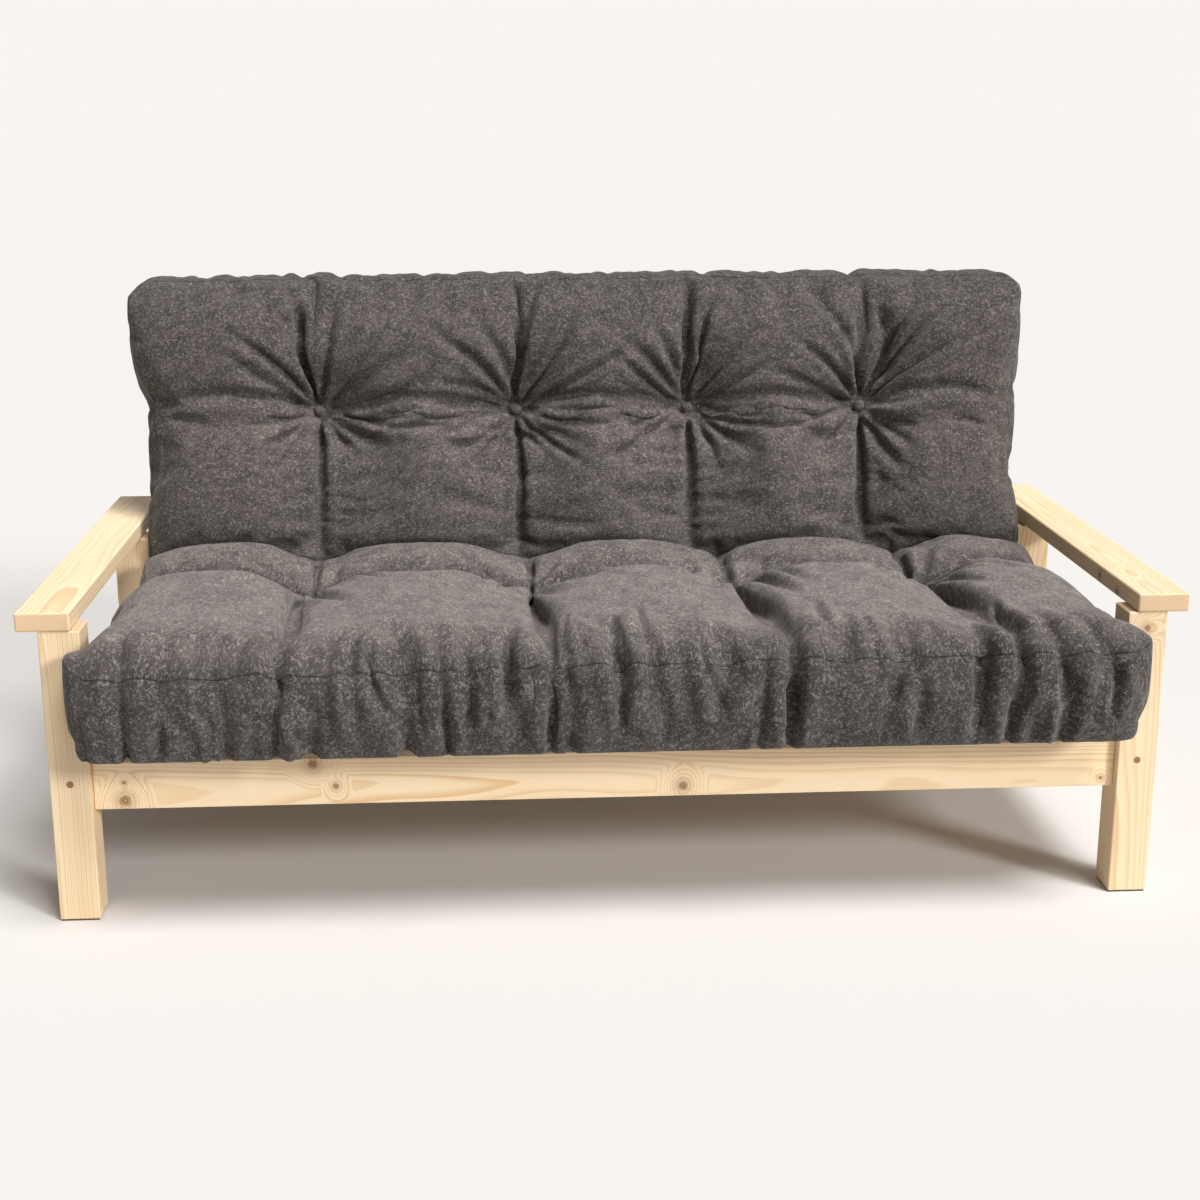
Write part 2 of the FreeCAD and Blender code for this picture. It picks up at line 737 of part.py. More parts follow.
def build_mattress(name, way, rows, run, tuft_xs):
    up = Vector(0, 0, 1)
    bases = [Vector(x, way * run, mattress_base) for x in tuft_xs]
    tools = tuft_tools(bases)
    outside = mattress_form(way, rows, tuft_xs, 0.0)
    hollow = mattress_form(way, rows, tuft_xs, cover_thickness)
    core = mattress_form(way, rows, tuft_xs, cover_thickness + core_clearance)
    cover = outside.cut(hollow).fuse(gathers(bases, hollow))
    nodes[f"{name}_mattress_cover"] = placed(way, cover.cut(tools))
    nodes[f"{name}_mattress_core"] = placed(way, core.cut(tools))
    buttons = [tuft_button(base + up * button_base) for base in bases]
    buttons += [rod(base, up, washer_thickness, button_radius) for base in bases]
    nodes[f"{name}_tuft_buttons"] = group([placed(way, button) for button in buttons])
    twine_length = button_base - washer_thickness
    twines = [rod(base + up * washer_thickness, up, twine_length, twine_radius) for base in bases]
    nodes[f"{name}_tuft_twine"] = group([placed(way, twine) for twine in twines])


build_frame()
build_seat_deck()
build_back_deck()
build_mattress("seat", SEAT, seat_rows(), seat_tuft_run, seat_tuft_xs)
build_mattress("back", BACK, back_rows(), back_tuft_run, back_tuft_xs)

os.makedirs("parts", exist_ok=True)
for node, shape in nodes.items():
    shape.exportStep(os.path.join("parts", node + ".step"))
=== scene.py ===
import json
import math
import random
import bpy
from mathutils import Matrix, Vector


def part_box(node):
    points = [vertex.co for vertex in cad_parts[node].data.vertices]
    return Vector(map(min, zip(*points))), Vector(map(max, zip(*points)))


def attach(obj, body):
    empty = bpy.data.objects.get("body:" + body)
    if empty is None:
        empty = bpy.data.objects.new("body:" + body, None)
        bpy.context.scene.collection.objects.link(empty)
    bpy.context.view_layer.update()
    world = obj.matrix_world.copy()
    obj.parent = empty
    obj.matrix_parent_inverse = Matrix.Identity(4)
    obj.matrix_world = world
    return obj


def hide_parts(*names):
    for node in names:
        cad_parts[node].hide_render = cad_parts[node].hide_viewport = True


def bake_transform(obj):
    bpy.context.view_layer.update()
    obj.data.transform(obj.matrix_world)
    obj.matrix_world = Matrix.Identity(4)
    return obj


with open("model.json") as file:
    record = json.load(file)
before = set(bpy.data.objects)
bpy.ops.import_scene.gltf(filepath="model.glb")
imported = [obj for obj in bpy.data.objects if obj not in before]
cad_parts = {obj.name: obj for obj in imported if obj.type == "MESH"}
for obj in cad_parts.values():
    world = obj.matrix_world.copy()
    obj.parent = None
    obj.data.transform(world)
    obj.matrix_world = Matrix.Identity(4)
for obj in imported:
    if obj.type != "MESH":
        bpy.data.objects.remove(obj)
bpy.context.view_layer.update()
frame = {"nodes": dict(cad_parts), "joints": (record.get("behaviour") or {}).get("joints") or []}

from types import SimpleNamespace

import bmesh
import bpy
import numpy as np
from bpy.props import FloatProperty, FloatVectorProperty, IntProperty, PointerProperty
from bpy.types import Operator, Panel, PropertyGroup
from mathutils import Euler, Matrix, Vector

bl_info = {
    "name": "Futon Sofa",
    "version": (1, 0, 0),
    "blender": (4, 5, 0),
    "location": "3D View > Sidebar > Futon",
    "description": "Finishes a folding pine futon sofa and makes its tufted mattress",
    "category": "Object",
}

NODES = frame["nodes"]
RECLINE = next(joint for joint in frame["joints"] if joint["name"] == "back_recline")
HINGE = Vector(RECLINE["pos_m"])
BACK_ANGLE = math.radians(RECLINE["range_deg"][1])
MITRE_ANGLE = (math.pi - BACK_ANGLE) / 2.0


# Settings

def length_setting(name, description, default):
    return FloatProperty(name=name, description=description, default=default, unit="LENGTH", precision=4)


def colour_setting(name, description, default):
    return FloatVectorProperty(name=name, description=description, default=default, subtype="COLOR",
                               size=3, min=0.0, max=1.0)


def angle_setting(name, description, degrees):
    return FloatProperty(name=name, description=description, default=math.radians(degrees), subtype="ANGLE")


class TimberSettings(PropertyGroup):
    """Colours and growth rings of the pine"""

    early: colour_setting("Early wood", "Pale part of each growth ring", (0.88, 0.70, 0.465))
    late: colour_setting("Late wood", "Darker line of each growth ring", (0.72, 0.46, 0.225))
    end_grain: colour_setting("End grain", "Cut ends of the boards", (0.58, 0.40, 0.25))
    knot: colour_setting("Knot", "Heart of a knot", (0.27, 0.115, 0.045))
    plug: colour_setting("Plug", "Wooden plugs over the bolt heads", (0.34, 0.17, 0.07))
    ring_spacing: length_setting("Ring spacing", "Distance between growth rings", 0.0040)


class ClothSettings(PropertyGroup):
    """Colours of the felted cover cloth"""

    ground: colour_setting("Ground", "Main colour of the cloth", (0.044, 0.0376, 0.0343))
    fleck: colour_setting("Fleck", "Pale fibres in the cloth", (0.28, 0.252, 0.235))
    # Painted light: lit copies of the ground and fleck, which the mattress's painted light share mixes in,
    # lightest on the seat top and on parts of the back
    lit_ground: colour_setting("Lit ground", "Main colour where the nap lies open",
                                   (0.130, 0.1123, 0.1041))
    lit_fleck: colour_setting("Lit fleck", "Pale fibres where the nap lies open",
                                  (0.49, 0.439, 0.412))


class MattressSettings(PropertyGroup):
    """Sizes of the mattress, measured from the deck that it lies on"""

    base: length_setting("Base", "Underside above the hinge axis", 0.0363)
    crown: length_setting("Crown", "Height of the plump rows", 0.188)
    shoulder: length_setting("Shoulder", "Height of the side seam", 0.166)
    groove: length_setting("Groove", "Height of the lines between tufts and fold", 0.134)
    row_drop: length_setting("Row drop", "How far the rows of tufts sink between tufts", 0.052)
    row_arch: length_setting("Row arch", "How far back the seat's row arches between tufts", 0.030)
    tuft: length_setting("Tuft", "Height of the drawn-in tufts", 0.100)
    seam: length_setting("End seam", "Height of the seam at the free ends", 0.137)
    seat_length: length_setting("Seat length", "Fold to the front edge", 0.950)
    back_length: length_setting("Back length", "Fold to the top edge", 0.752)
    half_width: length_setting("Half width", "Half the width between the posts", 0.932)
    lip_half_width: length_setting("Lip half width", "Half the width in front of the posts", 0.955)
    top_half_width: length_setting("Top half width", "Half the width of the back above the arms", 0.947)
    left_reach: length_setting("Left reach", "How far the back's top leans out on the left", 0.013)
    right_tuck: length_setting("Right tuck", "How far the back's top stays in on the right", 0.010)
    lip_droop: length_setting("Lip droop", "How far the front edge hangs down", 0.020)
    seat_tuft_run: length_setting("Seat tufts", "Fold to the seat's row of tufts", 0.390)
    back_tuft_run: length_setting("Back tufts", "Fold to the back's row of tufts", 0.467)
    post_run: length_setting("Post run", "Fold to the front of the posts", 0.835)
    post_room: length_setting("Room between posts", "Half the room between the posts", 0.9380)
    cell: length_setting("Cell", "Side of a square of the cloth mesh", 0.0105)
    swell_limit: length_setting("Swell limit", "Furthest that the filling may push the cloth", 0.022)
    pressure: FloatProperty(name="Pressure", description="How hard the filling pushes", default=2.2)
    slack: FloatProperty(name="Slack", description="Spare cloth, as a share", default=0.06,
                         subtype="FACTOR")
    steps: IntProperty(name="Steps", description="Frames that the filling takes to settle", default=20)
    bend_run: length_setting("Bend run", "Fold to the ends of the part that bends", 0.300)
    button_radius: length_setting("Button radius", "Half the width of a tuft button", 0.0125)
    button_lift: length_setting("Button lift", "How far a button stands out of its tuft", 0.011)
    button_height: length_setting("Button height", "Thickness of a tuft button", 0.0095)


class StageSettings(PropertyGroup):
    """Camera, floor and light"""

    camera_place: FloatVectorProperty(name="Camera", description="Where the camera stands",
                                      subtype="TRANSLATION", default=(-0.2332, -3.5898, 1.4383))
    camera_turn: FloatVectorProperty(name="Camera turn", description="How the camera is turned",
                                     subtype="EULER", default=(math.radians(74.96), 0.0, -0.0662))
    lens: FloatProperty(name="Lens", description="Focal length in millimetres", default=55.1)
    backdrop: colour_setting("Backdrop", "Colour behind the sofa", (0.947, 0.913, 0.884))
    floor: colour_setting("Floor", "Colour of the floor", (0.694, 0.669, 0.648))
    floor_glow: FloatProperty(name="Floor glow", description="Share of the backdrop in the floor",
                              default=0.03, subtype="FACTOR")
    sky: colour_setting("Sky", "Colour of the even light from all round", (1.0, 0.985, 0.97))
    sky_strength: FloatProperty(name="Sky strength", description="Even light from all round", default=0.15)
    key_strength: FloatProperty(name="Key lamp", description="Soft light from above on the right",
                                default=3.2)
    key_softness: angle_setting("Key softness", "Width of the key lamp", 24.0)
    key_tilt: angle_setting("Key tilt", "How far the key lamp stands from upright", 26.0)
    key_turn: angle_setting("Key turn", "How far to the right the key lamp stands", 40.0)
    fill_strength: FloatProperty(name="Fill lamp", description="Low light from the front right",
                                 default=2.2)
    fill_softness: angle_setting("Fill softness", "Width of the fill lamp", 12.0)
    fill_tilt: angle_setting("Fill tilt", "How far the fill lamp stands from upright", 66.0)
    fill_turn: angle_setting("Fill turn", "How far to the right the fill lamp stands", 45.0)


SEAT_TUFTS = (-0.575, -0.135, 0.270, 0.650)
BACK_TUFTS = (-0.573, -0.155, 0.215, 0.593)


# Shader nodes

def fill(tree, made, sockets):
    """Links or sets the named sockets of a node."""
    for name, value in sockets.items():
        if isinstance(value, bpy.types.NodeSocket):
            tree.links.new(value, made.inputs[name])
        else:
            made.inputs[name].default_value = value


def node(tree, kind, sockets=None, **settings):
    """A new node with its settings made and its sockets filled or linked."""
    made = tree.nodes.new(kind)
    for name, value in settings.items():
        setattr(made, name, value)
    fill(tree, made, sockets or {})
    return made


def maths(tree, operation, first, second=0.0, third=0.0, clamp=False):
    sockets = {0: first, 1: second, 2: third}
    return node(tree, "ShaderNodeMath", sockets, operation=operation, use_clamp=clamp).outputs[0]


def fade(tree, value, start, end, low=0.0, high=1.0):
    """A smooth step of value from low to high."""
    sockets = {"Value": value, "From Min": start, "From Max": end, "To Min": low, "To Max": high}
    return node(tree, "ShaderNodeMapRange", sockets, interpolation_type="SMOOTHSTEP").outputs["Result"]


def scaled(tree, vector, scale, offset=(0.0, 0.0, 0.0)):
    sockets = {"Vector": vector, "Scale": scale, "Location": offset}
    return node(tree, "ShaderNodeMapping", sockets).outputs["Vector"]


def noise(tree, vector, scale, detail=2.0, distortion=0.0):
    sockets = {"Vector": vector, "Scale": scale, "Detail": detail, "Distortion": distortion}
    return node(tree, "ShaderNodeTexNoise", sockets).outputs["Fac"]


def stretched_noise(tree, vector, scales, detail):
    return noise(tree, scaled(tree, vector, scales), 1.0, detail)


def blend_colour(tree, share, first, second, blend_type="MIX"):
    sockets = {0: share, 6: first, 7: second}
    return node(tree, "ShaderNodeMix", sockets, data_type="RGBA", blend_type=blend_type).outputs[2]


def attribute(tree, name, output):
    return node(tree, "ShaderNodeAttribute", attribute_name=name).outputs[output]


def opaque(colour, strength=1.0):
    return (strength * colour[0], strength * colour[1], strength * colour[2], 1.0)


def new_group(name, inputs, outputs):
    """An empty node group, the sockets that it is given and the node that takes its results."""
    tree = bpy.data.node_groups.new(name, "ShaderNodeTree")
    for label, kind in inputs.items():
        tree.interface.new_socket(name=label, in_out="INPUT", socket_type=f"NodeSocket{kind}")
    for label, kind in outputs.items():
        tree.interface.new_socket(name=label, in_out="OUTPUT", socket_type=f"NodeSocket{kind}")
    return tree, tree.nodes.new("NodeGroupInput").outputs, tree.nodes.new("NodeGroupOutput")


def place_group(tree, name, sockets):
    return node(tree, "ShaderNodeGroup", sockets, node_tree=bpy.data.node_groups[name]).outputs


def emptied_tree(owner):
    """The node tree of a material or world, with nothing in it."""
    owner.use_nodes = True
    owner.node_tree.nodes.clear()
    return owner.node_tree


def new_material(name):
    """A material with one shader, and the tree and shader to fill."""
    material = bpy.data.materials.new(name)
    tree = emptied_tree(material)
    shader = node(tree, "ShaderNodeBsdfPrincipled")
    node(tree, "ShaderNodeOutputMaterial", {"Surface": shader.outputs["BSDF"]})
    return material, tree, shader


def raise_surface(tree, shader, height, strength, distance):
    bump = node(tree, "ShaderNodeBump", {"Height": height, "Strength": strength, "Distance": distance})
    fill(tree, shader, {"Normal": bump.outputs["Normal"]})


def finish_node(name, material):
    for slot in NODES[name].material_slots:
        slot.material = material


# Pine

def make_grain_group():
    """Growth rings round a pith along X, with fibres and slow changes of tone."""
    wander_scales = (1.1, 7.0, 7.0)
    ripple_scales = (5.0, 40.0, 40.0)
    fibre_scales = (14.0, 900.0, 900.0)
    tone_scales = (2.0, 14.0, 14.0)
    taper = 0.009
    wander_depth = 0.034
    ripple_depth = 0.0022
    late_start = 0.30
    late_peak = 0.90
    late_least = 0.30
    late_spread = 0.65
    fibre_share = 0.16
    tone_share = 0.22
    share_drop = 0.10
    fibre_height = 0.7
    late_height = 0.5
    roughness = 0.56
    late_polish = -0.10
    tree, given, result = new_group(
        "Pine grain",
        {"Vector": "Vector", "Warp": "Float", "Ring Spacing": "Float", "Early": "Color", "Late": "Color"},
        {"Color": "Color", "Height": "Float", "Roughness": "Float"})
    vector = given["Vector"]
    place = node(tree, "ShaderNodeSeparateXYZ", {"Vector": vector}).outputs
    wander = stretched_noise(tree, vector, wander_scales, 2.0)
    ripple = stretched_noise(tree, vector, ripple_scales, 1.0)
    fibre = stretched_noise(tree, vector, fibre_scales, 3.0)
    tone = stretched_noise(tree, vector, tone_scales, 2.0)
    across = maths(tree, "POWER", place["Y"], 2.0)
    across = maths(tree, "ADD", across, maths(tree, "POWER", place["Z"], 2.0))
    radius = maths(tree, "SQRT", across)
    for part, depth in ((place["X"], taper), (wander, wander_depth), (ripple, ripple_depth)):
        radius = maths(tree, "MULTIPLY_ADD", part, depth, radius)
    radius = maths(tree, "ADD", radius, given["Warp"])
    rings = maths(tree, "DIVIDE", radius, given["Ring Spacing"])
    phase = maths(tree, "FRACT", rings)
    ring_number = maths(tree, "FLOOR", rings)
    ring_chance = node(tree, "ShaderNodeTexWhiteNoise", {"W": ring_number}, noise_dimensions="1D")
    ring_depth = maths(tree, "MULTIPLY_ADD", ring_chance.outputs["Value"], late_spread, late_least)
    rise = fade(tree, phase, late_start, late_peak)
    fall = fade(tree, phase, late_peak, 1.0, 1.0, 0.0)
    late = maths(tree, "MULTIPLY", maths(tree, "MULTIPLY", rise, fall), ring_depth)
    share = late
    for part, part_share in ((fibre, fibre_share), (tone, tone_share)):
        share = maths(tree, "MULTIPLY_ADD", fade(tree, part, 0.35, 0.75), part_share, share)
    share = maths(tree, "SUBTRACT", share, share_drop, clamp=True)
    late_relief = maths(tree, "MULTIPLY", late, late_height)
    fill(tree, result, {
        "Color": blend_colour(tree, share, given["Early"], given["Late"]),
        "Height": maths(tree, "MULTIPLY_ADD", fibre, fibre_height, late_relief),
        "Roughness": maths(tree, "MULTIPLY_ADD", late, late_polish, roughness)})


def make_knot_group():
    """A round knot at the origin of its vector: its mask, and how it pushes the rings aside."""
    ragged_scale = 160.0
    ragged_share = 0.35
    ring_rate = 17.0
    ring_depth = 0.16
    halo_strength = 0.30
    push_reach = 4.5
    push_radii = 2.2
    tree, given, result = new_group(
        "Pine knot", {"Vector": "Vector", "Radius": "Float"}, {"Mask": "Float", "Warp": "Float"})
    ragged = noise(tree, given["Vector"], ragged_scale, 2.0)
    distance = node(tree, "ShaderNodeVectorMath", {0: given["Vector"]}, operation="LENGTH").outputs["Value"]
    share = maths(tree, "DIVIDE", distance, given["Radius"])
    share = maths(tree, "MULTIPLY_ADD", ragged, ragged_share, share)
    heart = fade(tree, share, 0.55, 1.25, 1.0, 0.0)
    rings = maths(tree, "SINE", maths(tree, "MULTIPLY", share, ring_rate))
    rings = maths(tree, "MULTIPLY_ADD", rings, ring_depth, 1.0 - ring_depth)
    halo = fade(tree, share, 0.9, 2.4, halo_strength, 0.0)
    push = fade(tree, share, 0.0, push_reach, 1.0, 0.0)
    furthest = maths(tree, "MULTIPLY", given["Radius"], push_radii)
    fill(tree, result, {
        "Mask": maths(tree, "MAXIMUM", maths(tree, "MULTIPLY", heart, rings), halo),
        "Warp": maths(tree, "MULTIPLY", push, furthest)})


GRAIN_TURN = {"X": (0.0, 0.0, 0.0), "Y": (0.0, 0.0, -math.pi / 2), "Z": (0.0, math.pi / 2, 0.0)}
GRAIN_WAY = {"X": (1.0, 0.0, 0.0), "Y": (0.0, 1.0, 0.0), "Z": (0.0, 0.0, 1.0)}
END_GRAIN_SHARE = 0.75
PINE_GLOSS = 0.32
PINE_RELIEF = 0.25
PINE_RELIEF_DEPTH = 0.0006


def pine_material(name, grain, centre, heart, spacing_share, knots, knot_plane, tone):
    """Pine with its grain along an axis; heart is the pith's place from the board's centre, as turned."""
    timber = bpy.context.scene.futon_timber
    material, tree, shader = new_material(name)
    coords = node(tree, "ShaderNodeTexCoord").outputs
    turn = Euler(GRAIN_TURN[grain])
    location = -(turn.to_matrix() @ centre) - Vector(heart)
    sockets = {"Vector": coords["Object"], "Rotation": turn, "Location": location}
    turned = node(tree, "ShaderNodeMapping", sockets).outputs["Vector"]
    mask = None
    warp = 0.0
    for spot, radius in knots:
        offset = [-a * b for a, b in zip(spot, knot_plane)]
        place = scaled(tree, coords["Object"], knot_plane, offset)
        knot = place_group(tree, "Pine knot", {"Vector": place, "Radius": radius})
        warp = maths(tree, "ADD", knot["Warp"], warp)
        mask = knot["Mask"] if mask is None else maths(tree, "MAXIMUM", knot["Mask"], mask)
    pine = place_group(tree, "Pine grain", {
        "Vector": turned, "Warp": warp, "Ring Spacing": timber.ring_spacing * spacing_share,
        "Early": opaque(timber.early, tone), "Late": opaque(timber.late, tone)})
    colour = pine["Color"]
    if mask is not None:
        colour = blend_colour(tree, mask, colour, opaque(timber.knot))
    sockets = {0: coords["Normal"], 1: GRAIN_WAY[grain]}
    facing = node(tree, "ShaderNodeVectorMath", sockets, operation="DOT_PRODUCT").outputs["Value"]
    end_grain = fade(tree, maths(tree, "ABSOLUTE", facing), 0.6, 0.95, 0.0, END_GRAIN_SHARE)
    colour = blend_colour(tree, end_grain, colour, opaque(timber.end_grain))
    fill(tree, shader, {"Base Color": colour, "Roughness": pine["Roughness"],
                        "Specular IOR Level": PINE_GLOSS})
    raise_surface(tree, shader, pine["Height"], PINE_RELIEF, PINE_RELIEF_DEPTH)
    return material


def finish_pine(name, grain, heart, spacing_share=1.0, knots=(), knot_plane=(1.0, 0.0, 1.0), tone=1.0):
    low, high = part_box(name)
    centre = (Vector(low) + Vector(high)) / 2
    look = pine_material(f"pine {name}", grain, centre, heart, spacing_share, knots, knot_plane, tone)
    finish_node(name, look)


SIDES = (("left", -1.0), ("right", 1.0))

# Where the heart of the tree lies from the middle of each board
POST_HEARTS = {"front": (0.31, 0.052, 0.030), "rear": (0.31, 0.052, -0.041)}
ARM_HEART = (0.4, 0.012, 0.055)
SIDE_RAIL_HEART = (0.7, 0.060, 0.024)
FRONT_RAIL_HEART = (0.15, 0.070, -0.020)
INNER_RAIL_HEART = (0.9, 0.055, 0.031)
SLAT_HEART = (0.37, 0.045, 0.06)
SLAT_HEART_SPREAD = 0.03
BEARER_HEART = (0.29, 0.05, 0.035)
STOP_HEART = (0.2, 0.04, 0.03)

# Place and radius of each knot that shows
RAIL_FRONT = -0.4255
FRONT_RAIL_KNOTS = (
    ((-0.884, RAIL_FRONT, 0.2255), 0.0150), ((-0.884, RAIL_FRONT, 0.2600), 0.0050),
    ((-0.545, RAIL_FRONT, 0.2870), 0.0130), ((-0.505, RAIL_FRONT, 0.2440), 0.0080),
    ((0.130, RAIL_FRONT, 0.2290), 0.0130), ((0.915, RAIL_FRONT, 0.2250), 0.0060))
ARM_KNOTS = (((0.955, -0.23, 0.567), 0.009), ((0.955, -0.33, 0.560), 0.008))
ARM_KNOT_PLANE = (0.0, 1.0, 1.0)
POST_KNOTS = (((0.976, -0.4425, 0.520), 0.009),)

# Ring spacing and tone of boards that differ from the rest: the posts darker as painted shade, the front rail
# paler, partly its own board and partly painted light where the mattress lip shades it
ARM_SPACING_SHARE = 1.15
POST_PAINTED_SHADE = 0.92
FRONT_RAIL_PAINTED_LIGHT = 1.08


class FUTON_OT_frame_timber(Operator):
    """Finish the posts, arms and rails in clear pine"""

    bl_idname = "futon.frame_timber"
    bl_label = "Frame Timber"

    def execute(self, context):
        make_grain_group()
        make_knot_group()
        for side, way in SIDES:
            is_right = side == "right"
            for end, (along, out, up) in POST_HEARTS.items():
                knots = POST_KNOTS if is_right and end == "front" else ()
                heart = (along * way, out * way, up)
                # Posts toned down as painted shade
                finish_pine(f"{end}_post_{side}", "Z", heart, knots=knots, tone=POST_PAINTED_SHADE)
            heart = [way * part for part in ARM_HEART]
            knots = ARM_KNOTS if is_right else ()
            finish_pine(f"arm_board_{side}", "Y", heart, ARM_SPACING_SHARE, knots, ARM_KNOT_PLANE)
            along, out, up = SIDE_RAIL_HEART
            for rail in ("side_rail", "deck_runner"):
                finish_pine(f"{rail}_{side}", "Y", (along * way, out, up * way))
        # Front rail toned up, partly as painted light
        finish_pine("front_rail", "X", FRONT_RAIL_HEART, knots=FRONT_RAIL_KNOTS, tone=FRONT_RAIL_PAINTED_LIGHT)
        finish_pine("rear_rail", "X", INNER_RAIL_HEART)
        finish_pine("centre_rail", "Y", INNER_RAIL_HEART)
        return {"FINISHED"}


class FUTON_OT_deck_timber(Operator):
    """Finish the slats and bearers of both decks in plainer pine"""

    bl_idname = "futon.deck_timber"
    bl_label = "Deck Timber"

    def execute(self, context):
        along, out, up = SLAT_HEART
        for i, name in enumerate(sorted(name for name in NODES if "_slat_" in name)):
            lean = SLAT_HEART_SPREAD * math.sin(2.4 * i)
            finish_pine(name, "X", (along * i, out + lean, up))
        along, out, up = BEARER_HEART
        for i, name in enumerate(sorted(name for name in NODES if "_bearer_" in name)):
            grain = "Z" if name.startswith("back") else "Y"
            finish_pine(name, grain, (along * i, out, up))
        finish_pine("travel_stops", "X", STOP_HEART)
        return {"FINISHED"}


# Hardware

STEEL_NODES = (
    "frame_bolts", "barrel_nuts", "runner_screws", "seat_screws", "back_screws",
    "seat_hinge_leaf_left", "seat_hinge_leaf_right", "back_hinge_leaf_left", "back_hinge_leaf_right",
    "ratchet_wheels", "ratchet_pawls", "hinge_pins", "centre_pivot_bolt", "centre_pivot_nut")
STEEL_TONES = ((0.50, 0.50, 0.49), (0.70, 0.70, 0.67))
BRUSH_SCALES = (900.0, 60.0, 900.0)
FELT_TONES = ((0.045, 0.035, 0.028), (0.12, 0.09, 0.07))
NYLON_TONES = ((0.74, 0.73, 0.68), (0.82, 0.81, 0.77))
PLUG_SHADE = 0.6


def steel_material():
    """Zinc-plated steel with soft blotches and fine brushing."""
    material, tree, shader = new_material("zinc steel")
    place = node(tree, "ShaderNodeTexCoord").outputs["Object"]
    blotch = noise(tree, place, scale=55.0, detail=4.0)
    brush = stretched_noise(tree, place, BRUSH_SCALES, detail=2.0)
    darker, lighter = STEEL_TONES
    fill(tree, shader, {
        "Base Color": blend_colour(tree, blotch, opaque(darker), opaque(lighter)),
        "Roughness": fade(tree, blotch, 0.3, 0.7, low=0.28, high=0.46), "Metallic": 1.0})
    raise_surface(tree, shader, brush, strength=0.12, distance=0.0003)
    return material


def speckled_material(name, tones, scale, roughness, relief_depth):
    """A matt material in two near tones, for felt, nylon and small turned wood."""
    roughness_spread = 0.08
    material, tree, shader = new_material(name)
    place = node(tree, "ShaderNodeTexCoord").outputs["Object"]
    speck = noise(tree, place, scale, detail=4.0, distortion=0.4)
    first, second = tones
    smoothest = roughness - roughness_spread
    roughest = roughness + roughness_spread
    fill(tree, shader, {
        "Base Color": blend_colour(tree, fade(tree, speck, 0.3, 0.7), opaque(first), opaque(second)),
        "Roughness": fade(tree, speck, 0.2, 0.8, smoothest, roughest)})
    raise_surface(tree, shader, speck, strength=0.35, distance=relief_depth)
    return material


class FUTON_OT_hardware(Operator):
    """Finish bolts, hinges, plugs, glide strips and foot pads"""

    bl_idname = "futon.hardware"
    bl_label = "Hardware"

    def execute(self, context):
        timber = context.scene.futon_timber
        steel = steel_material()
        for name in STEEL_NODES:
            finish_node(name, steel)
        plug_tones = ([PLUG_SHADE * channel for channel in timber.plug], timber.plug)
        dowel_tones = (timber.late, timber.early)
        finish_node("bolt_plugs", speckled_material(
            "plug wood", plug_tones, scale=420.0, roughness=0.55, relief_depth=0.0004))
        finish_node("frame_dowels", speckled_material(
            "dowel wood", dowel_tones, scale=260.0, roughness=0.6, relief_depth=0.0004))
        finish_node("foot_pads", speckled_material(
            "felt", FELT_TONES, scale=700.0, roughness=0.92, relief_depth=0.0008))
        finish_node("glide_strips", speckled_material(
            "nylon", NYLON_TONES, scale=90.0, roughness=0.42, relief_depth=0.0002))
        return {"FINISHED"}


# Cloth

# Scale, shift and line width of each layer of fibres
FIBRE_LAYERS = ((66.0, 0.0, 0.036), (94.0, 3.7, 0.040), (140.0, 8.1, 0.048))


def make_cloth_group():
    """Felted cloth: a mottled ground with short curled pale fibres."""
    fuzz_scale = 620.0
    mottle_scale = 34.0
    least_tone = 0.65
    mottle_share = 0.50
    fuzz_share = 0.22
    fibre_share = 0.50
    fibre_height = 0.35
    tree, given, result = new_group(
        "Felted cloth", {"Vector": "Vector", "Ground": "Color", "Fleck": "Color"},
        {"Color": "Color", "Height": "Float"})
    vector = given["Vector"]
    fibres = None
    for scale, shift, width in FIBRE_LAYERS:
        place = scaled(tree, vector, (1.0, 1.0, 1.0), (shift, shift, shift))
        curl = noise(tree, place, scale, detail=1.5, distortion=1.2)
        from_line = maths(tree, "ABSOLUTE", maths(tree, "SUBTRACT", curl, 0.5))
        line = fade(tree, from_line, 0.0, width, 1.0, 0.0)
        gate = fade(tree, noise(tree, place, scale * 1.7, 0.0), 0.46, 0.60)
        layer = maths(tree, "MULTIPLY", line, gate)
        fibres = layer if fibres is None else maths(tree, "MAXIMUM", fibres, layer)
    fuzz = noise(tree, vector, fuzz_scale, 3.0)
    mottle = noise(tree, vector, mottle_scale, 5.0)
    tone = maths(tree, "MULTIPLY_ADD", fade(tree, mottle, 0.30, 0.70), mottle_share, least_tone)
    tone = maths(tree, "MULTIPLY_ADD", fade(tree, fuzz, 0.25, 0.75), fuzz_share, tone)
    grey = node(tree, "ShaderNodeCombineColor", {0: tone, 1: tone, 2: tone}).outputs["Color"]
    ground = blend_colour(tree, 1.0, given["Ground"], grey, "MULTIPLY")
    share = maths(tree, "MULTIPLY", fibres, fibre_share)
    fill(tree, result, {
        "Color": blend_colour(tree, share, ground, given["Fleck"]),
        "Height": maths(tree, "MULTIPLY_ADD", fibres, fibre_height, fuzz)})


SEAM_LINE = (0.0006, 0.0016)
SEAM_DARKNESS = 0.75
SEAM_SHADE = 0.22
SEAM_VALLEY = 0.0045
SEAM_DEPTH = 2.2
# Painted light share of the buttons, halfway between the shaded and lit copies of the cloth
BUTTON_PAINTED_LIGHT = 0.5
CLOTH_FINISH = {"Roughness": 0.93, "Specular IOR Level": 0.18, "Sheen Weight": 0.16,
                "Sheen Roughness": 0.50, "Sheen Tint": (0.90, 0.86, 0.82, 1.0)}


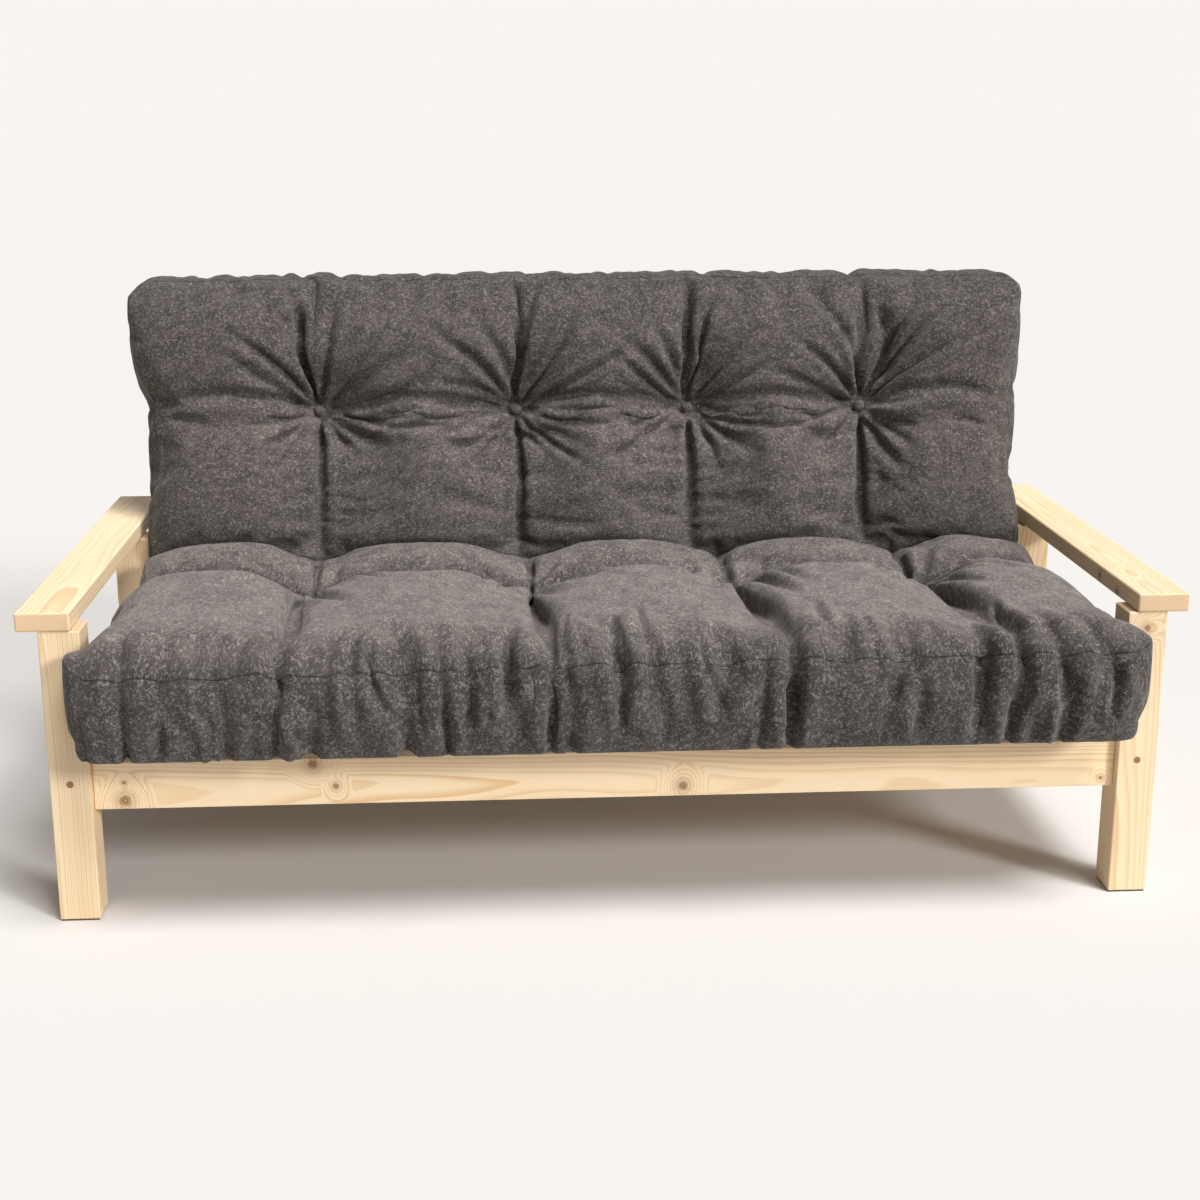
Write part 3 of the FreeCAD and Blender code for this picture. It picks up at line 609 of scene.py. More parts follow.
def cloth_material(name, has_seams):
    """The cover cloth. With seams, it follows the attributes of the mattress mesh."""
    cloth = bpy.context.scene.futon_cloth
    material, tree, shader = new_material(name)
    if has_seams:
        place = attribute(tree, "cloth_place", "Vector")
        painted_light = attribute(tree, "painted_light", "Fac")
    else:
        place = node(tree, "ShaderNodeTexCoord").outputs["Object"]
        painted_light = BUTTON_PAINTED_LIGHT
    # Painted light and shade: ground and fleck mixed from their shaded colours to their lit copies by the
    # painted light share
    felted = place_group(tree, "Felted cloth", {
        "Vector": place,
        "Ground": blend_colour(tree, painted_light, opaque(cloth.ground), opaque(cloth.lit_ground)),
        "Fleck": blend_colour(tree, painted_light, opaque(cloth.fleck), opaque(cloth.lit_fleck))})
    colour = felted["Color"]
    height = felted["Height"]
    if has_seams:
        from_seam = attribute(tree, "from_seam", "Fac")
        line = fade(tree, from_seam, *SEAM_LINE, SEAM_DARKNESS, 0.0)
        colour = blend_colour(tree, line, colour, opaque(cloth.ground, SEAM_SHADE))
        valley = fade(tree, from_seam, 0.0, SEAM_VALLEY)
        height = maths(tree, "MULTIPLY_ADD", valley, SEAM_DEPTH, height)
    fill(tree, shader, {"Base Color": colour, **CLOTH_FINISH})
    raise_surface(tree, shader, height, strength=0.45, distance=0.0012)
    return material


# Mattress

def ramp(value, width):
    """A straight rise from 0 to 1 over a width."""
    return np.clip(value / width, 0.0, 1.0)


def smooth(share):
    return share * share * (3.0 - 2.0 * share)


def bell(value, width):
    """1 at a value of 0, falling off on both sides."""
    return np.exp(-((value / width) ** 2))


def on_seat(x, run, height, base):
    """Places on the seat deck as rows of x, y, z."""
    return np.stack([x, HINGE.y - run, HINGE.z + base + height], axis=-1)


def on_back(x, run, height, base):
    """Places on the back deck as rows of x, y, z."""
    rise = base + height
    y = HINGE.y + run * math.cos(BACK_ANGLE) - rise * math.sin(BACK_ANGLE)
    z = HINGE.z + run * math.sin(BACK_ANGLE) + rise * math.cos(BACK_ANGLE)
    return np.stack([x, y, z], axis=-1)


def span_share(value, stops):
    """Which span between two stops each value is in, and how far along it."""
    i = np.clip(np.searchsorted(stops, value) - 1, 0, len(stops) - 2)
    return i, ramp(value - stops[i], stops[i + 1] - stops[i])


def eased(run, stops, values):
    """Values that swell and sink smoothly from stop to stop."""
    values = np.asarray(values)
    i, share = span_share(run, np.asarray(stops))
    return values[i] + (values[i + 1] - values[i]) * (1.0 - np.cos(math.pi * share)) / 2.0


def between(x, tufts, half):
    """How far each x lies between two tufts: 0 at the tufts, 1 halfway."""
    share = span_share(x, np.concatenate([[-half], tufts, [half]]))[1]
    return np.sin(math.pi * share)


def pillow(x, half, tufts, crest, groove, seam, power):
    """Height of a row of pillows between tuft lines, from a crest down to the lines and the side seams."""
    edges = np.stack([-half] + [np.full_like(x, tuft) for tuft in tufts] + [half])
    ends = np.stack([seam] + [groove] * len(tufts) + [seam])
    i = np.clip((x[None, :] >= edges).sum(axis=0) - 1, 0, len(tufts))
    columns = np.arange(len(x))
    left = edges[i, columns]
    right = edges[i + 1, columns]
    share = 2.0 * (x - left) / np.maximum(right - left, 1e-6) - 1.0
    end = np.where(share < 0.0, ends[i, columns], ends[i + 1, columns])
    return crest - (crest - end) * np.abs(share) ** power


def rounded(x, run, half, length, radius):
    """x and run with the free corners of the outline rounded."""
    s = 1.0 - (half - np.abs(x)) / radius
    t = 1.0 - (length - run) / radius
    near = (s > 0.0) & (t > 0.0)
    s_round = s * np.sqrt(np.clip(1.0 - t * t / 2.0, 0.0, 1.0))
    t_round = t * np.sqrt(np.clip(1.0 - s * s / 2.0, 0.0, 1.0))
    x_round = np.sign(x) * (half - radius * (1.0 - s_round))
    run_round = length - radius * (1.0 - t_round)
    return np.where(near, x_round, x), np.where(near, run_round, run)


class MattressPlan:
    """Every point of the mattress cloth: where it lies flat, and where it lies before and after tufting."""

    corner_radius = 0.045
    edge_inset = 0.010
    edge_round = 0.115
    crease_height = 0.140
    crease_round = 0.060
    seam_lean = 0.010
    border = 0.157
    lower_seam = 0.018
    underside_share = 0.988
    side_bulge = 0.003
    lip_bulge = 0.007
    top_bulge = 0.006
    tufted_power = 2.6
    plain_power = 8.0
    lip_start = 0.012
    lip_end = 0.045
    top_start = 0.06
    top_end = 0.10
    seam_dip = 0.016
    nearly = 0.9999
    at_fold = 1e-6

    def __init__(self, sizes, flat):
        self.sizes = sizes
        self.across = flat[:, 0]
        self.row = flat[:, 1]
        self.up = flat[:, 2]
        self.x = self.across * sizes.half_width
        self.crease_run = (sizes.base + self.crease_height) / math.tan(MITRE_ANGLE)
        self.floor_run = sizes.base / math.tan(MITRE_ANGLE)
        self.seat_reach = sizes.seat_length - self.edge_inset
        self.back_reach = sizes.back_length - self.edge_inset
        self.is_seat = self.row <= 0.0
        self.on_top = self.up > self.nearly
        self.below = self.up < -self.nearly
        self.at_end = np.abs(self.row) > self.nearly
        self.at_side = np.abs(self.across) > self.nearly
        self.reach = np.where(self.is_seat, self.seat_reach, self.back_reach)

    def decks(self):
        """What differs between the two halves: their tufts, and the folds and creases in them."""
        sizes = self.sizes
        seat = SimpleNamespace(
            holds=self.is_seat, tufts=SEAT_TUFTS, tuft_run=sizes.seat_tuft_run, reach=self.seat_reach,
            half=sizes.lip_half_width, fold_end=0.80, edge_reach=0.20, edge_depth=0.026,
            row_arch=sizes.row_arch, row_width=0.014, row_depth=0.016)
        back = SimpleNamespace(
            holds=~self.is_seat, tufts=BACK_TUFTS, tuft_run=sizes.back_tuft_run, reach=self.back_reach,
            half=sizes.top_half_width, fold_end=0.72, edge_reach=0.12, edge_depth=0.0030,
            row_arch=-0.034, row_width=-0.011, row_depth=0.013)
        return seat, back

    def shape(self, drawn):
        """Points with the tufts drawn in by a share, 0 to 1."""
        top = self.layer(drawn, True)
        bottom = self.layer(drawn, False)
        up = ((self.up + 1.0) / 2.0)[:, None]
        points = bottom + (top - bottom) * up
        return points + self.border_bulge() * np.sin(math.pi * up)

    def border_bulge(self):
        outward = np.zeros((len(self.up), 3))
        outward[self.at_side, 0] = np.sign(self.across[self.at_side]) * self.side_bulge
        outward[self.at_end & self.is_seat, 1] = -self.lip_bulge
        at_top = self.at_end & ~self.is_seat
        outward[at_top, 1] = self.top_bulge * math.cos(BACK_ANGLE)
        outward[at_top, 2] = self.top_bulge * math.sin(BACK_ANGLE)
        return outward

    def layer(self, drawn, is_top):
        """Points of the upper or lower face, each at its place across and along its deck."""
        sizes = self.sizes
        radius = self.corner_radius
        near_run = self.crease_run if is_top else self.floor_run
        seat_run = near_run + (self.seat_reach - near_run) * np.clip(-self.row, 0.0, 1.0)
        back_run = near_run + (self.back_reach - near_run) * np.clip(self.row, 0.0, 1.0)
        lip_stops = (0.0, sizes.post_run - self.lip_start, sizes.post_run + self.lip_end)
        top_stops = (0.0, sizes.back_tuft_run - self.top_start, sizes.back_length - self.top_end)
        seat_half = eased(seat_run, lip_stops, (sizes.half_width, sizes.half_width, sizes.lip_half_width))
        back_half = eased(back_run, top_stops, (sizes.half_width, sizes.half_width, sizes.top_half_width))
        seat_x, seat_run = rounded(self.across * seat_half, seat_run, seat_half, self.seat_reach, radius)
        back_x, back_run = rounded(self.across * back_half, back_run, back_half, self.back_reach, radius)
        lean = self.lean(back_x, back_run)
        if is_top:
            seat_height = self.seat_top(seat_x, seat_run, seat_half, drawn)
            back_height = self.back_top(back_x, back_run, back_half, drawn)
        else:
            hang = eased(seat_run, (0.0, sizes.post_run, self.seat_reach), (0.0, 0.0, 1.0))
            seat_height = -sizes.lip_droop * hang
            back_height = np.zeros_like(back_run)
            seat_x = seat_x * self.underside_share
            back_x = back_x * self.underside_share
        seat = on_seat(seat_x, seat_run, seat_height, sizes.base)
        back = on_back(back_x + lean, back_run, back_height, sizes.base)
        return np.where(self.is_seat[:, None], seat, back)

    def lean(self, x, run):
        """How far the back's sides lie to the left, past the outer tufts and the run between the posts."""
        outer_tufts = 0.62
        side_width = 0.30
        past_posts = 0.42
        full_lean = 0.58
        past_tufts = smooth(ramp(np.abs(x) - outer_tufts, side_width))
        move = np.where(x < 0.0, self.sizes.left_reach, self.sizes.right_tuck)
        return -move * past_tufts * eased(run, (0.0, past_posts, full_lean), (0.0, 0.0, 1.0))

    def top_height(self, x, run, arched, half, reach, tufts, stops, crest, groove, seam, drawn):
        """Height of the upper face, rounded down to the free end and into the fold."""
        crest = eased(arched, stops, crest)
        groove = eased(run, stops, groove)
        seam = eased(run, stops, seam)
        tufted = pillow(x, half, tufts, crest, groove, seam, self.tufted_power)
        plain = pillow(x, half, (), crest, groove, seam, self.plain_power)
        height = plain + (tufted - plain) * drawn
        past = ramp(run - reach + self.edge_round, self.edge_round)
        low = self.sizes.seam + self.seam_lean * x
        height = low + (height - low) * np.sqrt(1.0 - past ** 2)
        out = ramp(run - self.crease_run, self.crease_round)
        return self.crease_height + (height - self.crease_height) * np.sqrt(1.0 - (1.0 - out) ** 2)

    def seat_top(self, x, run, half, drawn):
        past_row = 0.14
        arch_width = 0.15
        front_rise = 0.004
        end_fall = 0.014
        front_dip = 0.008
        end_rise = 0.014
        s = self.sizes
        front_crest_run = s.seat_tuft_run + past_row
        near_row = bell(run - s.seat_tuft_run, arch_width)
        arched = run + s.row_arch * between(x, SEAT_TUFTS, s.lip_half_width) * near_row
        stops = (0.0, s.seat_tuft_run / 2.0, s.seat_tuft_run, front_crest_run, s.seat_length)
        crest = (s.crown, s.crown, s.crown - s.row_drop, s.crown + front_rise, s.crown - end_fall)
        groove = (s.groove, s.groove, s.tuft, s.groove - front_dip, s.groove + end_rise)
        seam = (s.shoulder, s.shoulder, s.shoulder - self.seam_dip, s.shoulder, s.shoulder)
        return self.top_height(x, run, arched, half, self.seat_reach, SEAT_TUFTS, stops, crest, groove,
                               seam, drawn)

    def back_top(self, x, run, half, drawn):
        row_share = 0.4
        top_fall = 0.004
        end_fall = 0.010
        top_rise = 0.012
        end_rise = 0.026
        s = self.sizes
        top_crest_run = (s.back_tuft_run + s.back_length) / 2.0
        stops = (0.0, s.back_tuft_run / 2.0, s.back_tuft_run, top_crest_run, s.back_length)
        crest = (s.crown, s.crown, s.crown - row_share * s.row_drop, s.crown - top_fall, s.crown - end_fall)
        groove = (s.groove, s.groove, s.tuft, s.groove + top_rise, s.groove + end_rise)
        seam = (s.shoulder, s.shoulder, s.shoulder - self.seam_dip, s.shoulder, s.shoulder)
        return self.top_height(x, run, run, half, self.back_reach, BACK_TUFTS, stops, crest, groove,
                               seam, drawn)

    def top_run(self):
        """Flat distance of each point from the fold, along its own deck and on down the end border."""
        run = self.crease_run + (self.reach - self.crease_run) * np.abs(self.row)
        return run + np.where(self.at_end, (1.0 - self.up) / 2.0 * self.border, 0.0)

    def fold_run(self):
        """As top_run, but carried on under the mattress from the lower edge of the end border."""
        under = self.reach + self.border + (1.0 - np.abs(self.row)) * (self.reach - self.floor_run)
        return np.where(self.below, under, self.top_run())

    def hold(self):
        """How firmly each point is held: 1 at the underside and tufts, less along seams and drawn lines."""
        side_hold = 0.08
        end_hold = 0.40
        inner_line_hold = 0.6
        outer_line_hold = 0.35
        outer_line_length = 0.25
        fold_hold = 0.8
        tuft_radius = 0.013
        line_half_width = 0.55 * self.sizes.cell
        run = self.top_run()
        held = np.zeros(len(run))
        held[self.on_top & self.at_side] = side_hold
        held[self.on_top & self.at_end] = end_hold
        for deck in self.decks():
            on_deck = self.on_top & deck.holds
            for tuft in deck.tufts:
                on_line = on_deck & (np.abs(self.x - tuft) < line_half_width)
                held[on_line & (run < deck.tuft_run)] = inner_line_hold
                outer = on_line & (run >= deck.tuft_run)
                held[outer] = outer_line_hold * (1.0 - ramp(run[outer] - deck.tuft_run, outer_line_length))
                from_tuft = np.hypot(self.x - tuft, run - deck.tuft_run)
                held[on_deck & (from_tuft < tuft_radius)] = 1.0
        held[self.on_top & (np.abs(self.row) < self.at_fold)] = fold_hold
        held[self.below] = 1.0
        return held

    def cloth_place(self):
        """Where each point lies in the cloth's pattern, longer on the seat and denser at the fold."""
        seat_stretch = 0.65
        fold_run = 0.05
        from_fold = np.abs(self.row) * self.reach
        along = from_fold * np.where(self.is_seat, seat_stretch, 1.0)
        along = along + fold_run * (1.0 - np.exp(-from_fold / fold_run))
        return np.stack([self.x, np.sign(self.row) * along, self.up * self.border / 2.0], axis=-1)

    def from_seam(self):
        """Flat distance of each point from the nearest seam."""
        from_side = (1.0 - np.abs(self.across)) * self.sizes.half_width
        from_end = (1.0 - np.abs(self.row)) * self.reach
        above_edge = (1.0 + self.up) * self.border / 2.0
        from_seams = np.minimum(self.border - above_edge, np.abs(above_edge - self.lower_seam))
        corner = np.where(self.at_side, from_end, from_side)
        on_border = np.where(above_edge > self.lower_seam, np.minimum(from_seams, corner), from_seams)
        return np.where(self.on_top, np.minimum(from_side, from_end), on_border)

    def painted_light(self):
        """Painted light and shade as a share, 0 to 1: painted light most on the seat top and some on the
        back, with a painted highlight below the back's row of tufts; none on the borders, and painted shade
        in the drawn rows, round the seat tufts, in the fold and towards the edges.
        """
        edge_width = 0.12
        side_width = 0.22
        fold_width = 0.14
        row_shade = 0.95
        row_shift = 0.032
        row_width = 0.062
        tuft_width = 0.055
        light_in_fold = 0.35
        lit_shift = 0.045
        lit_width = 0.060
        back_least = 0.07
        back_middle = 0.11
        back_lit = 0.24
        sizes = self.sizes
        run = self.top_run()
        # Painted shade towards the free ends, the back's sides and the fold
        from_edge = ramp(self.reach - run, edge_width)
        from_side = ramp(sizes.half_width - np.abs(self.x), side_width)
        out_of_fold = ramp(run - self.crease_run, fold_width)
        arch = sizes.row_arch * between(self.x, SEAT_TUFTS, sizes.lip_half_width)
        # Painted shade in the crease along the seat's row of tufts and round each seat tuft
        painted_crease_shade = row_shade * bell(run - sizes.seat_tuft_run + row_shift + arch, row_width)
        for tuft in SEAT_TUFTS:
            from_tuft = np.hypot(self.x - tuft, run - sizes.seat_tuft_run)
            painted_crease_shade = np.maximum(painted_crease_shade, bell(from_tuft, tuft_width))
        fold_light = light_in_fold + (1.0 - light_in_fold) * out_of_fold
        # Painted light on the seat top, shaded off at the creases, the fold and the front edge
        on_seat_top = from_edge * (1.0 - painted_crease_shade) * fold_light
        # Painted highlight on the back's lower pillows just below the row of tufts
        below_row = bell(run - sizes.back_tuft_run + lit_shift, lit_width)
        on_back_top = back_least + from_edge * from_side * (back_middle + back_lit * below_row)
        return np.where(self.on_top, np.where(self.is_seat, on_seat_top, on_back_top), 0.0)


def fold_line(x, run, start, end, width, depth, wobble):
    """Height of one fold of cloth: a valley from start to end with a soft ridge on each side."""
    fade_in_share = 0.10
    fade_out_share = 0.55
    half_waves = 1.5
    start_width = 0.60
    widening = 1.3
    ridge_height = 0.45
    ridge_place = 2.2
    ridge_width = 1.3
    way = np.array(end) - np.array(start)
    length = np.hypot(way[0], way[1])
    way = way / length
    along = ((x - start[0]) * way[0] + (run - start[1]) * way[1]) / length
    side = (run - start[1]) * way[0] - (x - start[0]) * way[1]
    side = side - wobble * np.sin(math.pi * half_waves * along)
    strength = depth * ramp(along, fade_in_share) * smooth(ramp(1.0 - along, fade_out_share))
    reach = width * (start_width + widening * np.clip(along, 0.0, 1.0))
    valley = bell(side, reach)
    ridges = bell(np.abs(side) - ridge_place * reach, ridge_width * reach)
    return strength * (ridge_height * ridges - valley)


def row_crease(x, run, deck):
    """Height of the crease along a row of tufts, arched between them, with a pillow rising on one side."""
    side_fade = 0.16
    ridge_height = 0.62
    ridge_place = 2.6
    ridge_width = 1.8
    side = run - deck.tuft_run + deck.row_arch * between(x, deck.tufts, deck.half)
    valley = bell(side, deck.row_width)
    ridge = bell(side - ridge_place * deck.row_width, ridge_width * deck.row_width)
    return deck.row_depth * ramp(deck.half - np.abs(x), side_fade) * (ridge_height * ridge - valley)


FAN_ANGLES = (8, 30, 52, 72, 108, 130, 152, 172, 196, 218, 240, 300, 322, 344)
FAN_ANGLE_SPREAD = 8.0
FAN_START = 0.010
FAN_LENGTHS = (0.13, 0.24)
FAN_DEPTHS = (0.006, 0.010)
FAN_WIDTHS = (0.0050, 0.0080)
FAN_WOBBLE = 0.014
OUTWARD_LENGTH = 0.12
OUTWARD_DEPTH = 0.004
LEVEL_LENGTH = 0.05
LINE_LEAN = 0.04
LINE_START = 0.006
LINE_WIDTH = 0.0085
OUTER_LINE_DEPTH = 0.019
OUTER_LINE_WOBBLE = 0.008
INNER_LINE_END = 0.12
INNER_LINE_DEPTH = 0.016
INNER_LINE_WOBBLE = 0.005
BORDER_FOLD_END = 0.185
BORDER_FOLD_TOP = 0.08
BORDER_FOLD_SHARE = 0.8
BORDER_FOLD_WIDTH = 0.0140
BORDER_FOLD_WOBBLE = 0.010


def tuft_folds(chance, deck):
    """Folds that fan out from each tuft: long ones to the free edge, shorter ones elsewhere."""
    tuft_run = deck.tuft_run
    low_run = deck.reach + BORDER_FOLD_END
    low_depth = BORDER_FOLD_SHARE * deck.edge_depth
    # Each fold is its start, end, width, depth and wobble
    folds = []
    for tuft in deck.tufts:
        lean = chance.uniform(-LINE_LEAN, LINE_LEAN)
        start = (tuft, tuft_run + LINE_START)
        end = (tuft + lean, deck.fold_end)
        folds.append((start, end, LINE_WIDTH, OUTER_LINE_DEPTH, OUTER_LINE_WOBBLE))
        start = (tuft + lean, low_run)
        end = (tuft + lean / 2, tuft_run + BORDER_FOLD_TOP)
        folds.append((start, end, BORDER_FOLD_WIDTH, low_depth, BORDER_FOLD_WOBBLE))
        start = (tuft, tuft_run - LINE_START)
        end = (tuft + lean / 3, INNER_LINE_END)
        folds.append((start, end, LINE_WIDTH, INNER_LINE_DEPTH, INNER_LINE_WOBBLE))
        for angle in FAN_ANGLES:
            turn = math.radians(angle + chance.uniform(-FAN_ANGLE_SPREAD, FAN_ANGLE_SPREAD))
            outward = max(0.0, math.sin(turn))
            level = abs(math.cos(turn)) ** 4
            length = chance.uniform(*FAN_LENGTHS) + OUTWARD_LENGTH * outward + LEVEL_LENGTH * level
            start = (tuft + FAN_START * math.cos(turn), tuft_run + FAN_START * math.sin(turn))
            end = (tuft + length * math.cos(turn), tuft_run + length * math.sin(turn))
            depth = chance.uniform(*FAN_DEPTHS) + OUTWARD_DEPTH * outward
            width = chance.uniform(*FAN_WIDTHS)
            wobble = chance.uniform(-FAN_WOBBLE, FAN_WOBBLE)
            folds.append((start, end, width, depth, wobble))
    return folds


EDGE_FOLD_SPACING = 0.115
EDGE_FOLD_STEPS = (0.5, 1.5)
EDGE_FOLD_FIRST = 0.03
EDGE_FOLD_LAST = 0.02
EDGE_FOLD_LEAN = 0.035
EDGE_FOLD_RISES = (0.25, 1.0)
EDGE_FOLD_DROP = 0.155
EDGE_FOLD_DROPS = (0.5, 1.3)
EDGE_FOLD_WIDTHS = (0.7, 1.3)
EDGE_FOLD_DEPTHS = (0.5, 1.0)
EDGE_FOLD_WOBBLE = 0.008

# Share of the full depth and spacing, and width, of the broad and of the fine folds
EDGE_FOLD_KINDS = ((1.0, 0.0145), (0.60, 0.0085))


def edge_folds(chance, deck):
    """Folds across a free end's seam: broad ones that rise out of the border, with finer ones between."""
    folds = []
    for share, width in EDGE_FOLD_KINDS:
        x = -deck.half + EDGE_FOLD_FIRST
        while x < deck.half - EDGE_FOLD_LAST:
            lean = chance.uniform(-EDGE_FOLD_LEAN, EDGE_FOLD_LEAN)
            top = (x + lean, deck.reach - chance.uniform(*EDGE_FOLD_RISES) * deck.edge_reach)
            low = (x, deck.reach + chance.uniform(*EDGE_FOLD_DROPS) * EDGE_FOLD_DROP)
            ends = [low, top]
            if share < 1.0:
                chance.shuffle(ends)
            fold_width = width * chance.uniform(*EDGE_FOLD_WIDTHS)
            depth = deck.edge_depth * share * chance.uniform(*EDGE_FOLD_DEPTHS)
            folds.append((ends[0], ends[1], fold_width, depth, EDGE_FOLD_WOBBLE))
            x += EDGE_FOLD_SPACING * share * chance.uniform(*EDGE_FOLD_STEPS)
    return folds


DEEPEST_FOLD = -0.027
HIGHEST_FOLD = 0.014


def gathered(points, normals, plan, sizes):
    """The points moved along their normals into the folds of the drawn cloth."""
    reach_under = 0.055
    under_fade = 0.05
    button_room = 0.008
    button_fade = 0.024
    side_fade = 0.085
    floor_level = -0.9
    chance = random.Random(7)
    all_runs = plan.fold_run()
    shown = plan.on_top | plan.at_end | plan.below
    raised = np.zeros(len(plan.x))
    for deck in plan.decks():
        folds = tuft_folds(chance, deck) + edge_folds(chance, deck)
        on_deck = np.flatnonzero(deck.holds & shown)
        x = plan.x[on_deck]
        run = all_runs[on_deck]
        height = np.zeros(len(on_deck))
        for start, end, width, depth, wobble in folds:
            height += fold_line(x, run, start, end, width, depth, wobble)
        height *= ramp(deck.reach + plan.border + reach_under - run, under_fade)
        height += row_crease(x, run, deck)
        for tuft in deck.tufts:
            from_tuft = np.hypot(x - tuft, run - deck.tuft_run)
            height *= ramp(from_tuft - button_room, button_fade)
        raised[on_deck] = height
    near_floor = plan.up < floor_level
    raised[near_floor] = np.minimum(raised[near_floor], 0.0)
    raised *= ramp(sizes.half_width - np.abs(plan.x), side_fade)
    return points + normals * np.clip(raised, DEEPEST_FOLD, HIGHEST_FOLD)[:, None]


def settle(piece, plan, sizes):
    """Where the points come to rest as the tufts are drawn in and the filling pushes the cloth out."""
    scene = bpy.context.scene
    piece.shape_key_add(name="Plain")
    pulled = piece.shape_key_add(name="Drawn")
    pulled.data.foreach_set("co", plan.shape(1.0).ravel())
    pulled.value = 0.0
    pulled.keyframe_insert("value", frame=1)
    pulled.value = 1.0
    pulled.keyframe_insert("value", frame=sizes.steps * 6 // 10)
    held = piece.vertex_groups.new(name="held")
    for i, weight in enumerate(plan.hold()):
        if weight > 0.0:
            held.add([i], float(weight), "REPLACE")
    filling = piece.modifiers.new("Filling", "CLOTH")
    filling.collision_settings.use_collision = False
    filling.point_cache.frame_start = 1
    filling.point_cache.frame_end = sizes.steps
    cloth = filling.settings
    cloth.quality = 5
    cloth.tension_stiffness = 12.0
    cloth.compression_stiffness = 12.0
    cloth.shear_stiffness = 4.0
    cloth.bending_stiffness = 0.08
    cloth.vertex_group_mass = "held"
    cloth.pin_stiffness = 1.0
    cloth.shrink_min = -sizes.slack
    cloth.use_pressure = True
    cloth.uniform_pressure_force = sizes.pressure
    cloth.effector_weights.gravity = 0.0
    for step in range(1, sizes.steps + 1):
        scene.frame_set(step)
    graph = bpy.context.evaluated_depsgraph_get()
    settled = piece.evaluated_get(graph).to_mesh()
    points = rows_of(settled.vertices, "co")
    piece.evaluated_get(graph).to_mesh_clear()
    piece.modifiers.remove(filling)
    piece.vertex_groups.clear()
    piece.shape_key_clear()
    scene.frame_set(1)
    return points


def kept_in_place(points, plan, sizes):
    """The points no further from the plan than the swell limit, and clear of what is round them."""
    row_ease = 0.15
    row_ease_run = 0.10
    drawn = plan.shape(1.0)
    move = points - drawn
    far = np.linalg.norm(move, axis=1)
    from_row = np.abs(plan.top_run() - sizes.seat_tuft_run + 0.5 * sizes.row_arch)
    ease = np.clip(row_ease + from_row / row_ease_run, row_ease, 1.0)
    ease = np.where(plan.is_seat & plan.on_top, ease, 1.0)
    share = np.minimum(1.0, sizes.swell_limit * ease / np.maximum(far, 1e-9))
    return kept_clear(drawn + move * share[:, None], plan, sizes)


def kept_clear(points, plan, sizes):
    """The points moved clear of the posts and of the other side of the fold."""
    lip_room = 0.006
    top_room = 0.009
    fold_gap = 0.0004
    before_tufts = 0.05
    widening_run = 0.22
    run = plan.top_run()
    in_front = HINGE.y - points[:, 1] > sizes.post_run + lip_room
    seat_room = np.where(in_front, sizes.lip_half_width + lip_room, sizes.post_room)
    past_posts = smooth(ramp(run - sizes.back_tuft_run + before_tufts, widening_run))
    back_room = sizes.post_room + (sizes.top_half_width + top_room - sizes.post_room) * past_posts
    room = np.where(plan.is_seat, seat_room, back_room)
    leans_left = ~plan.is_seat & (points[:, 0] <= 0.0)
    extra = np.where(leans_left, -plan.lean(points[:, 0], run), 0.0)
    points[:, 0] = np.clip(points[:, 0], -room - extra, room)
    out_of_fold = np.array([0.0, -math.sin(MITRE_ANGLE), -math.cos(MITRE_ANGLE)])
    aside = (points - np.array(HINGE)) @ out_of_fold
    wanted = np.where(plan.is_seat, np.maximum(aside, fold_gap), np.minimum(aside, -fold_gap))
    free = np.abs(plan.row) > plan.at_fold
    points[free] += (wanted - aside)[free, None] * out_of_fold
    return points


# Meshes

def rows_of(items, key):
    """A vector of each item, as rows of three."""
    values = np.empty(len(items) * 3)
    items.foreach_get(key, values)
    return values.reshape(-1, 3)


def add_attribute(mesh, name, kind, key, values):
    made = mesh.attributes.new(name, kind, "POINT")
    made.data.foreach_set(key, values.ravel())


def new_piece(name, cells):
    """An object in the scene with the mesh of a bmesh, which is freed."""
    mesh = bpy.data.meshes.new(name)
    cells.to_mesh(mesh)
    cells.free()
    piece = bpy.data.objects.new(name, mesh)
    bpy.context.scene.collection.objects.link(piece)
    return piece


def shade_smooth(mesh):
    mesh.polygons.foreach_set("use_smooth", [True] * len(mesh.polygons))
    mesh.update()


def box_of_cells(counts):
    """A box from -1 to 1 each way, cut into cells."""
    cells = bmesh.new()
    bmesh.ops.create_cube(cells, size=2.0)
    for axis, count in enumerate(counts):
        along = []
        for edge in cells.edges:
            way = edge.verts[1].co - edge.verts[0].co
            if abs(way[axis]) > 0.5 * way.length:
                along.append(edge)
        bmesh.ops.subdivide_edges(cells, edges=along, cuts=count - 1, use_grid_fill=True)
    return cells


def made_finer(piece):
    """The piece's mesh with each cell split in four."""
    finer = piece.modifiers.new("Finer", "SUBSURF")
    finer.levels = 1
    finer.render_levels = 1
    graph = bpy.context.evaluated_depsgraph_get()
    mesh = bpy.data.meshes.new_from_object(piece.evaluated_get(graph))
    piece.modifiers.remove(finer)
    coarse = piece.data
    piece.data = mesh
    bpy.data.meshes.remove(coarse)
    mesh.name = "mattress"
    return mesh


